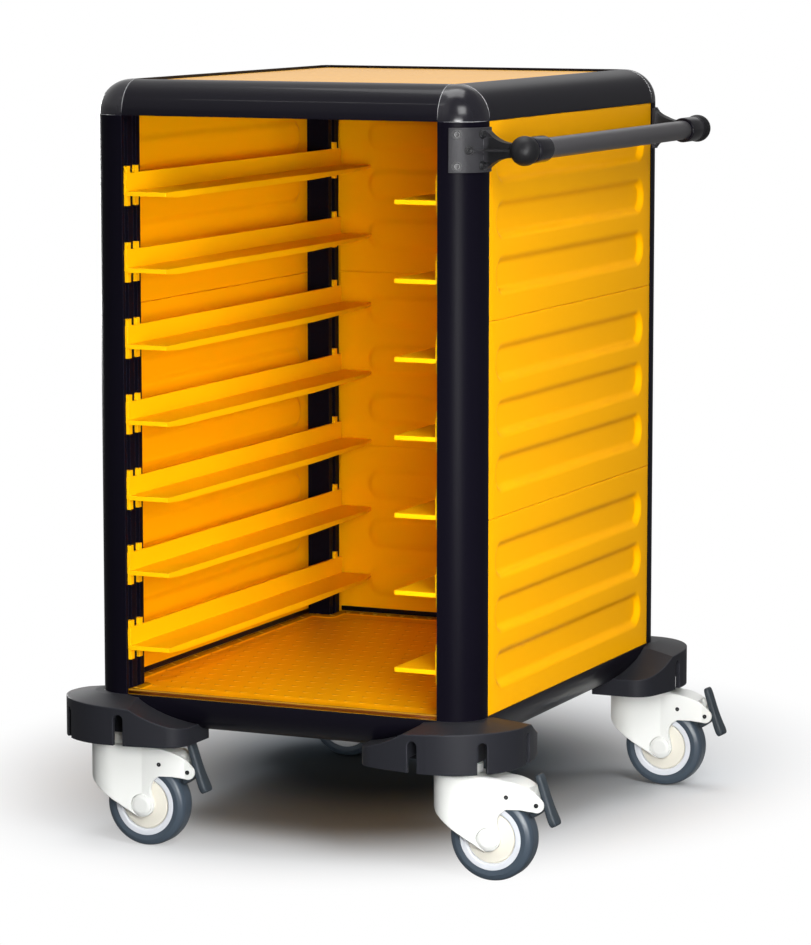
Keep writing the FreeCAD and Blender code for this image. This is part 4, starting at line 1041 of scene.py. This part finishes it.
@dataclass
class FloorTray:
    """Shallow tray with flecks rolled into it, its front bead, dark as painted shade, and the black
    seal at the walls.

    A slope is given by where it begins, from the edge, and its length.
    """

    half_width: float = 224.8
    front: float = -297.0
    rear: float = 290.5
    notch: Point = (195.6, 255.6)
    bottom: float = 180.05
    sheet_top: float = 183.0
    rim_height: float = 3.0
    field_rise: float = 0.8
    seal_height: float = 6.5
    seal_thickness: float = 1.3
    rim_slope: Point = (2.6, 9.0)
    field_slope: Point = (30.0, 12.0)
    bead_out: Point = (0.3, 1.4)
    bead_height: float = 4.0
    bead_lift: float = 0.4
    overlap: float = 1.0
    seal_gaps: Point = (0.3, 0.2)
    finish: Finish = FLOOR_AMBER

    def build(self) -> None:
        """Build the tray in place of its node, and what trims it."""
        WARDROBE.put_on("floor_tray_flecked", self._tray(), "cart", self.finish, "floor_tray")
        # the front bead is dark amber as painted shade
        WARDROBE.put_on("floor_front_bead", self._bead(), "cart", SHADE_BEAD_AMBER)
        WARDROBE.put_on("floor_seal", self._seal(), "cart", FRAME_BLACK)

    def _tray(self) -> Surface:
        """The tray's sheet.

        The height over the sheet is the rim's, less a smooth step of the distance to the edge,
        plus a shallow smooth step where the field of flecks begins. The distance to the edge is
        the least of those to the outer sides and to the notches round the posts.

        Returns:
            Points in metres and faces.
        """
        near = np.array([0.0, 1.0, 2.0, 2.6, 3.5, 4.4, 5.4, 6.4, 7.4, 8.4, 9.4, 10.5, 11.6, 14.0,
                         24.0, 30.0, 33.0, 36.0, 39.0, 42.0, 46.0])
        notch_x, notch_y = self.notch
        x = np.concatenate([self.half_width - near, notch_x - near, np.linspace(0, 140, 12)])
        x = np.unique(np.round(np.concatenate([-x, x]), 3))
        y = np.concatenate([self.front + near, self.rear - near, near - notch_y, notch_y - near,
                            np.linspace(-200, 200, 30)])
        x, y = np.meshgrid(x, np.unique(np.round(y, 3)))
        aside, along = np.abs(x), np.abs(y)
        corner = np.hypot(np.maximum(notch_x - aside, 0.0), np.maximum(notch_y - along, 0.0))
        edge = np.minimum.reduce([self.half_width - aside, y - self.front, self.rear - y, corner])
        rim, rise = (smooth_step((edge - start) / length)
                     for start, length in (self.rim_slope, self.field_slope))
        top = self.sheet_top + self.rim_height * (1.0 - rim) + self.field_rise * rise
        middle = aside[:-1, :-1] + aside[1:, 1:] < 2 * notch_x
        between = along[:-1, :-1] + along[1:, 1:] < 2 * notch_y
        points, faces = slab(spread(x, y, top), spread(x, y, self.bottom), middle | between)
        return in_frame(points), faces

    def _bead(self) -> Surface:
        """Two rounded folds along the tray's front edge, coloured dark amber as painted shade.

        The fold stands out by the size of a sine of the height, two half waves over the sheet's
        turned-down edge, and runs straight across.
        """
        reach = self.notch[0] - self.overlap
        x, up = np.meshgrid(np.linspace(-reach, reach, 12), np.linspace(0.0, 1.0, 17))
        out = self.bead_out[0] + self.bead_out[1] * np.abs(np.sin(2.0 * math.pi * up))
        z = self.bottom + self.bead_lift + up * self.bead_height
        points, faces = slab(spread(x, self.front - out, z), spread(x, self.front, z))
        return in_frame(points), faces

    def _seal(self) -> Surface:
        """Half-round black strips along the foot of the left, right and back walls.

        Across the strip the height is the middle's plus half the strip's height times the sine,
        and the strip stands out by its thickness times the cosine.
        """
        turn = np.linspace(-math.pi / 2, math.pi / 2, 13)
        out_gap, gap = self.seal_gaps
        middle = self.sheet_top + self.rim_height + gap + self.seal_height / 2
        parts = []
        for reach, wall, quarters in ((self.notch[1], self.half_width, 0),
                                      (self.notch[1], self.half_width, 2),
                                      (self.notch[0], self.rear, 1)):
            reach, wall = reach - self.overlap, wall + out_gap
            along, angle = np.meshgrid(np.linspace(-reach, reach, 8), turn)
            out = wall - self.seal_thickness * np.cos(angle)
            z = middle + self.seal_height / 2 * np.sin(angle)
            points, faces = slab(spread(out, along, z), spread(wall + gap, along, z))
            cosine, sine = math.cos(quarters * math.pi / 2), math.sin(quarters * math.pi / 2)
            spin = np.array([[cosine, sine, 0.0], [-sine, cosine, 0.0], [0.0, 0.0, 1.0]])
            parts.append((points @ spin, faces[:, ::-1]))
        points, faces = join(parts)
        return in_frame(points), faces


# ---------------------------------------------------------------- handle

@dataclass
class PushHandle:
    """Grey tube between two round-ended sleeves, on brackets kept from the CAD frame."""

    axis: Point = (265.0, 819.0)
    ferrule_ends: Point = (226.0, 266.0)
    ferrule_radius: float = 14.8
    bore: float = 11.6
    corner: Point = (176.0, 262.0)
    saddle_radius: float = 41.15
    screws: tuple[Point, ...] = ((25.0, -17.5), (25.0, 17.5), (70.0, -17.5), (70.0, 17.5),
                                 (45.0, 0.0))
    tube: Finish = TUBE_GREY

    def build(self) -> None:
        """Build the screws and the ferrules, and dress the rest."""
        for node in ("handle_bracket_front", "handle_bracket_rear"):
            WARDROBE.dress(node, BRACKET_GREY)
        WARDROBE.put_on("bracket_screws_turned", self._screws(), "cart", SCREW_DARK,
                        "bracket_screws")
        WARDROBE.dress("handle_tube", self.tube)
        line = self._ferrule_line()
        ends = [turned(end, (self.axis[0], 0.0, self.axis[1]), 1) for end in (mirrored(line), line)]
        WARDROBE.put_on("ferrules_turned", join(ends), "cart", FERRULE_BLACK, "handle_ferrules")

    def _screws(self) -> Surface:
        """Ten socket screws on washers, each standing out of the post's rounding.

        A screw turned about y is swung about the upright axis, so that its y goes outwards.
        """
        line = rounded_line([
            (-5.0, 0.15, 0.02), (0.9, 0.15, 0.02), (0.9, 2.2, 0.1), (2.1, 2.35, 0.15),
            (2.1, 3.7, 0.5), (1.2, 4.2, 0.4), (0.12, 4.2, 0.05), (0.12, 4.8, 0.05),
            (0.8, 4.9, 0.15), (0.7, 5.7, 0.3), (-0.6, 5.9, 0.1), (-0.6, 1.9, 0.1),
            (-5.0, 1.9, 0.3),
        ], steps=3)
        points, faces = turned(line, (0.0, 0.0, 0.0), 1, 48, socket=(2.0, 2.6))
        parts = []
        for end in (-1.0, 1.0):
            for angle, rise in self.screws:
                out_x, out_y = math.sin(math.radians(angle)), end * math.cos(math.radians(angle))
                swing = np.array([[out_y, -out_x, 0.0], [out_x, out_y, 0.0], [0.0, 0.0, 1.0]])
                foot = np.array([self.corner[0] + out_x * self.saddle_radius,
                                 end * self.corner[1] + out_y * self.saddle_radius,
                                 self.axis[1] + rise])
                parts.append((points @ swing + foot * MM, faces))
        return join(parts)

    def _ferrule_line(self) -> np.ndarray:
        """Closed outline of the rear ferrule's wall, with a bead at its ball end.

        Returns:
            Points of the outline, as (along the tube, radius).
        """
        near, far = self.ferrule_ends
        r = self.ferrule_radius
        corners = [
            (near, self.bore, 0.2), (near, r, 1.0), (far - 4.2, r, 0.8), (far - 3.6, r - 0.9, 0.3),
            (far - 3.0, r, 0.6), (far, r, 1.0), (far, 1.5, 0.2), (far - 4.0, 1.5, 0.2),
            (far - 4.0, self.bore, 0.2),
        ]
        return rounded_line(corners[::-1])


# ---------------------------------------------------------------- casters

@dataclass
class Caster:
    """One braked swivel caster.

    Attributes:
        corner: the corner of the cart.
        stem: the stem's axis from the carcass's middle.
        trail: how far the axle is from it.
        wheel_radius: the wheel's radius.
        tyre, disc, ring: corners of half their sections, as (along the axle, radius, rounding).
        pins: each pin's place out from the stem and up, and half its length.
        pin_radius: a pin's radius.
        pin_proud: how far a pin stands out of its cheek.
    """

    corner: str
    stem: Point
    trail: float = 40.0
    wheel_radius: float = 50.0
    tyre: tuple[Triple, ...] = ((14.2, 37.1, 0.4), (14.9, 43.0, 3.0), (12.2, 48.8, 4.5),
                                (6.5, 50.0, 6.0))
    disc: tuple[Triple, ...] = ((15.6, 4.1, 0.1), (15.6, 11.0, 0.6), (12.6, 13.2, 1.0),
                                (12.2, 28.2, 0.6), (10.0, 28.9, 0.3), (10.0, 30.4, 0.1))
    ring: tuple[Triple, ...] = ((9.8, 29.5, 0.1), (12.9, 29.9, 0.5), (13.9, 31.4, 0.8),
                                (14.0, 37.1, 0.4))
    pins: tuple[Triple, ...] = ((61.5, 99.5, 19.75), (95.0, 91.5, 13.0))
    pin_radius: float = 2.6
    pin_proud: float = 0.35

    def build(self) -> None:
        """Build the wheel and the pins' ends and dress the rest."""
        corner, caster = self.corner, f"caster_{self.corner}"
        centre = self._at(self.trail, self.wheel_radius)
        rings = (("tyre", self.tyre, TYRE_SLATE, (f"wheel_tyre_{corner}",)),
                 ("wheel_disc", self.disc, DISC_CREAM, (f"wheel_core_{corner}",)),
                 ("wheel_ring", self.ring, RING_GREY, ()))
        for name, half, finish, nodes in rings:
            line = rounded_line([*half, *((-x, r, bend) for x, r, bend in reversed(half))])
            WARDROBE.put_on(f"{name}_{corner}", turned(line, centre, 1, 128), f"wheel_{corner}",
                            finish, *nodes)
        WARDROBE.put_on(f"pin_ends_{corner}", self._pin_ends(), caster, PIN_DARK)
        WARDROBE.dress(f"fork_{corner}", CASTER_WHITE)
        WARDROBE.dress(f"axle_{corner}", CASTER_WHITE)
        WARDROBE.put_on(f"pedal_lofted_{corner}", self._pedal(), f"pedal_{corner}", PEDAL_GREY,
                        f"brake_pedal_{corner}", weld=True)

    def _at(self, out: float, up: float) -> Triple:
        """A point so far behind the stem and so high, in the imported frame's millimetres."""
        return self.stem[0] + out + CARCASS_SHIFT, self.stem[1], up

    def _pedal(self) -> Surface:
        """Brake pedal: a lever that widens to its toe and the shoe over the tyre, both lofted."""
        centre = self._at(*self.pins[1][:2])
        bars = (([(-1.5, 34.3), (4.6, 16.0), (11.2, -4.0), (19.6, -23.8)], (7.8, 8.6, 11.0),
                 (17.4, 15.8, 23.0)),
                ([(8.0, 3.0), (1.0, -5.5), (-10.6, -13.6)], (9.0, 9.0, 9.0),
                 (16.0, 16.0, 16.0)))
        return join([lofted(np.array(knots), thick, wide, centre) for knots, thick, wide in bars])

    def _pin_ends(self) -> Surface:
        """The ends of the spring's and the pedal's pins, just proud of both cheeks."""
        parts = []
        for out, up, half in self.pins:
            inner, outer = half - 2.0, half + self.pin_proud
            line = rounded_line([(inner, 0.3, 0.05), (outer, 0.3, 0.05),
                                 (outer, self.pin_radius, 0.4), (inner, self.pin_radius, 0.2)],
                                steps=3)
            parts += [turned(end, self._at(out, up), 1, 32) for end in (mirrored(line), line)]
        return join(parts)


@dataclass
class Undercarriage:
    """Four casters, their stems and the corner bumpers."""

    stem_x: float = 218.0
    stem_y: float = 278.0

    def build(self) -> None:
        """Build the casters and dress what stays with the cart."""
        for side, x in (("left", -self.stem_x), ("right", self.stem_x)):
            for end, y in (("front", -self.stem_y), ("rear", self.stem_y)):
                Caster(f"{end}_{side}", (x, y)).build()
        for node, finish in (("caster_stems", STEM_WHITE), ("swivel_bearings", STEM_WHITE),
                             ("corner_bumpers", BUMPER_BLACK)):
            WARDROBE.dress(node, finish)


# ---------------------------------------------------------------- studio

@dataclass(frozen=True)
class Softbox:
    """A soft rectangular lamp.

    Attributes:
        name: its name.
        place: where it stands, in metres.
        aim: the point that it faces.
        width: its width.
        height: its height.
        power: its power, in watts.
        spread: the angle that its light fans out over, in degrees.
        on_floor: whether it lights the floor as well.
    """

    name: str
    place: Triple
    aim: Triple
    width: float
    height: float
    power: float
    spread: float = 180.0
    on_floor: bool = True

    def hang(self, floor: bpy.types.Object) -> None:
        """Make the lamp and turn it to its aim.

        Args:
            floor: the studio's floor.
        """
        data = bpy.data.lights.new(self.name, "AREA")
        data.shape = "RECTANGLE"
        data.size, data.size_y, data.energy = self.width, self.height, self.power
        data.spread = math.radians(self.spread)
        lamp = bpy.data.objects.new(self.name, data)
        lamp.location = self.place
        facing = Vector(self.aim) - Vector(self.place)
        lamp.rotation_euler = facing.to_track_quat("-Z", "Y").to_euler()
        lamp.visible_camera = False
        bpy.context.scene.collection.objects.link(lamp)
        if not self.on_floor:
            shaded = bpy.data.collections.new(f"{self.name}_shaded")
            shaded.objects.link(floor)
            lamp.light_linking.receiver_collection = shaded
            shaded.collection_objects[0].light_linking.link_state = "EXCLUDE"
        LOG.info("%s hangs at %s", self.name, self.place)


@dataclass
class Studio:
    """Pale floor with a painted shadow under the cart, soft lamps and the camera at the
    photograph's viewing angle.
    """

    camera_at: Triple = (1939.0, -4311.7, 1057.1)
    pitch: float = 82.243
    yaw: float = 23.94
    lens: float = 151.28
    sensor: float = 36.0
    far: float = 100.0
    floor_half: float = 30.0
    floor_colour: Triple = (0.82, 0.85, 0.88)
    # colour, middle, squeeze and fade of the painted shadow under the cart
    painted_shadow_colour: Triple = (0.065, 0.08, 0.095)
    painted_shadow_middle: Point = (-0.12, 0.27)
    painted_shadow_squeeze: Triple = (1.25, 1.0, 1.0)
    painted_shadow_fade: Point = (0.15, 0.5)
    floor_fade: Point = (0.38, 0.74)
    surround: float = 0.28
    floor_gloss: float = 0.2
    gloss_falls: dict[str, tuple[Point, Point]] = field(default_factory=lambda: {
        "X": ((-0.16, 0.09), (1.0, 0.03)), "Z": ((0.12, 0.36), (0.5, 1.0)),
    })
    lamps: tuple[Softbox, ...] = (
        Softbox("key_softbox", (1.9, -1.9, 2.2), (0.1, 0.0, 0.5), 1.2, 1.2, 43.0),
        Softbox("front_fill", (1.0, -1.65, 0.6), (-0.1, 0.1, 0.36), 0.7, 0.7, 6.6, 62.0, False),
        Softbox("top_softbox", (-0.1, 0.2, 3.6), (0.0, 0.0, 0.5), 2.0, 2.0, 60.0),
        Softbox("strip_light", (-1.38, -2.35, 3.37), (-1.38, -0.33, 0.87), 0.8, 0.06, 2.4),
        Softbox("rear_fill", (-2.2, 1.6, 0.7), (0.0, 0.0, 0.5), 0.8, 0.8, 15.0, 120.0, False),
    )

    def build(self) -> None:
        """Set up the whole studio."""
        self._camera()
        floor = self._floor()
        self._world()
        for lamp in self.lamps:
            lamp.hang(floor)
        bpy.context.scene.view_settings.view_transform = "Standard"

    def _camera(self) -> None:
        """The camera, level with the photograph's."""
        data = bpy.data.cameras.new("camera")
        data.lens = self.lens
        data.sensor_width = self.sensor
        data.clip_end = self.far
        camera = bpy.data.objects.new("camera", data)
        x, y, z = self.camera_at
        camera.location = ((x + CARCASS_SHIFT) * MM, y * MM, z * MM)
        camera.rotation_euler = (math.radians(self.pitch), 0.0, math.radians(self.yaw))
        bpy.context.scene.collection.objects.link(camera)
        bpy.context.scene.camera = camera

    def _floor(self) -> bpy.types.Object:
        """A pale floor that shows white to the camera, keeps the cart's shadow and has a dark
        painted shadow under the cart.
        """
        size = self.floor_half
        mesh = bpy.data.meshes.new("floor")
        mesh.from_pydata([(-size, -size, 0), (size, -size, 0), (size, size, 0), (-size, size, 0)],
                         [], [(0, 1, 2, 3)])
        floor = bpy.data.objects.new("floor", mesh)
        bpy.context.scene.collection.objects.link(floor)
        material = bpy.data.materials.new("pale_floor")
        material.use_nodes = True
        tree = material.node_tree
        tree.nodes.remove(tree.nodes["Principled BSDF"])
        # painted shadow: the floor's colour is dark near the shadow's middle and pale further out
        colour = mix_node(tree, self._ring_mask(tree, self.painted_shadow_fade), self.painted_shadow_colour,
                          self.floor_colour)
        diffuse = add_node(tree, "BsdfDiffuse", {"Color": colour})
        glow = add_node(tree, "Emission", {"Strength": self._seen_white(tree, self.floor_gloss)})
        both = add_node(tree, "MixShader", {0: self._ring_mask(tree, self.floor_fade),
                                            1: diffuse.outputs[0], 2: glow.outputs[0]})
        feed(tree, tree.nodes["Material Output"], {"Surface": both.outputs[0]})
        mesh.materials.append(material)
        return floor

    def _ring_mask(self, tree: Tree, fade: Point) -> Socket:
        """0 on the floor near the shadow's middle and 1 far from it, rising sooner sideways.

        Args:
            tree: the floor's node tree.
            fade: the distances between which it rises, in metres.

        Returns:
            The mask's socket.
        """
        away = vector_math(tree, "SUBTRACT", {0: placed_at(tree), 1: (*self.painted_shadow_middle, 0.0)})
        squeezed = vector_math(tree, "MULTIPLY", {0: away.outputs[0], 1: self.painted_shadow_squeeze})
        length = vector_math(tree, "LENGTH", {0: squeezed.outputs[0]}).outputs["Value"]
        return ramp_node(tree, length, fade, kind="SMOOTHSTEP")

    @staticmethod
    def _seen_white(tree: Tree, gloss: Value) -> Socket:
        """White for the rays that show the background.

        Args:
            tree: the node tree of the floor or the world.
            gloss: what glossy rays see.

        Returns:
            1 for camera and transmission rays, the gloss for glossy rays, and 0 for the rest.
        """
        ray = add_node(tree, "LightPath").outputs
        seen = math_node(tree, "MAXIMUM", ray["Is Camera Ray"], ray["Is Transmission Ray"])
        glossy = math_node(tree, "MULTIPLY", ray["Is Glossy Ray"], gloss)
        return math_node(tree, "MAXIMUM", seen, glossy)

    def _world(self) -> None:
        """Grey surroundings, white to the camera and in gloss but for the right and low down."""
        world = bpy.data.worlds.new("studio")
        world.use_nodes = True
        bpy.context.scene.world = world
        tree = world.node_tree
        way = parts_of(tree, placed_at(tree, "Generated"))
        gloss = math_node(tree, "MULTIPLY", *(ramp_node(tree, way[axis], span, levels)
                                              for axis, (span, levels) in self.gloss_falls.items()))
        strength = math_node(tree, "MAXIMUM", self._seen_white(tree, gloss), self.surround)
        feed(tree, tree.nodes["Background"], {"Strength": strength, "Color": (1.0, 1.0, 1.0, 1.0)})


# ---------------------------------------------------------------- the cart


def main() -> None:
    """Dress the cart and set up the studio."""
    logging.basicConfig(level=logging.INFO, format="%(message)s")
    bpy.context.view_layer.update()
    carcass = Carcass()
    carcass.dress()
    for part in (carcass, PressedTiles(), FloorTray(), PushHandle(), Undercarriage(), Studio()):
        part.build()


if __name__ == "__main__":
    main()
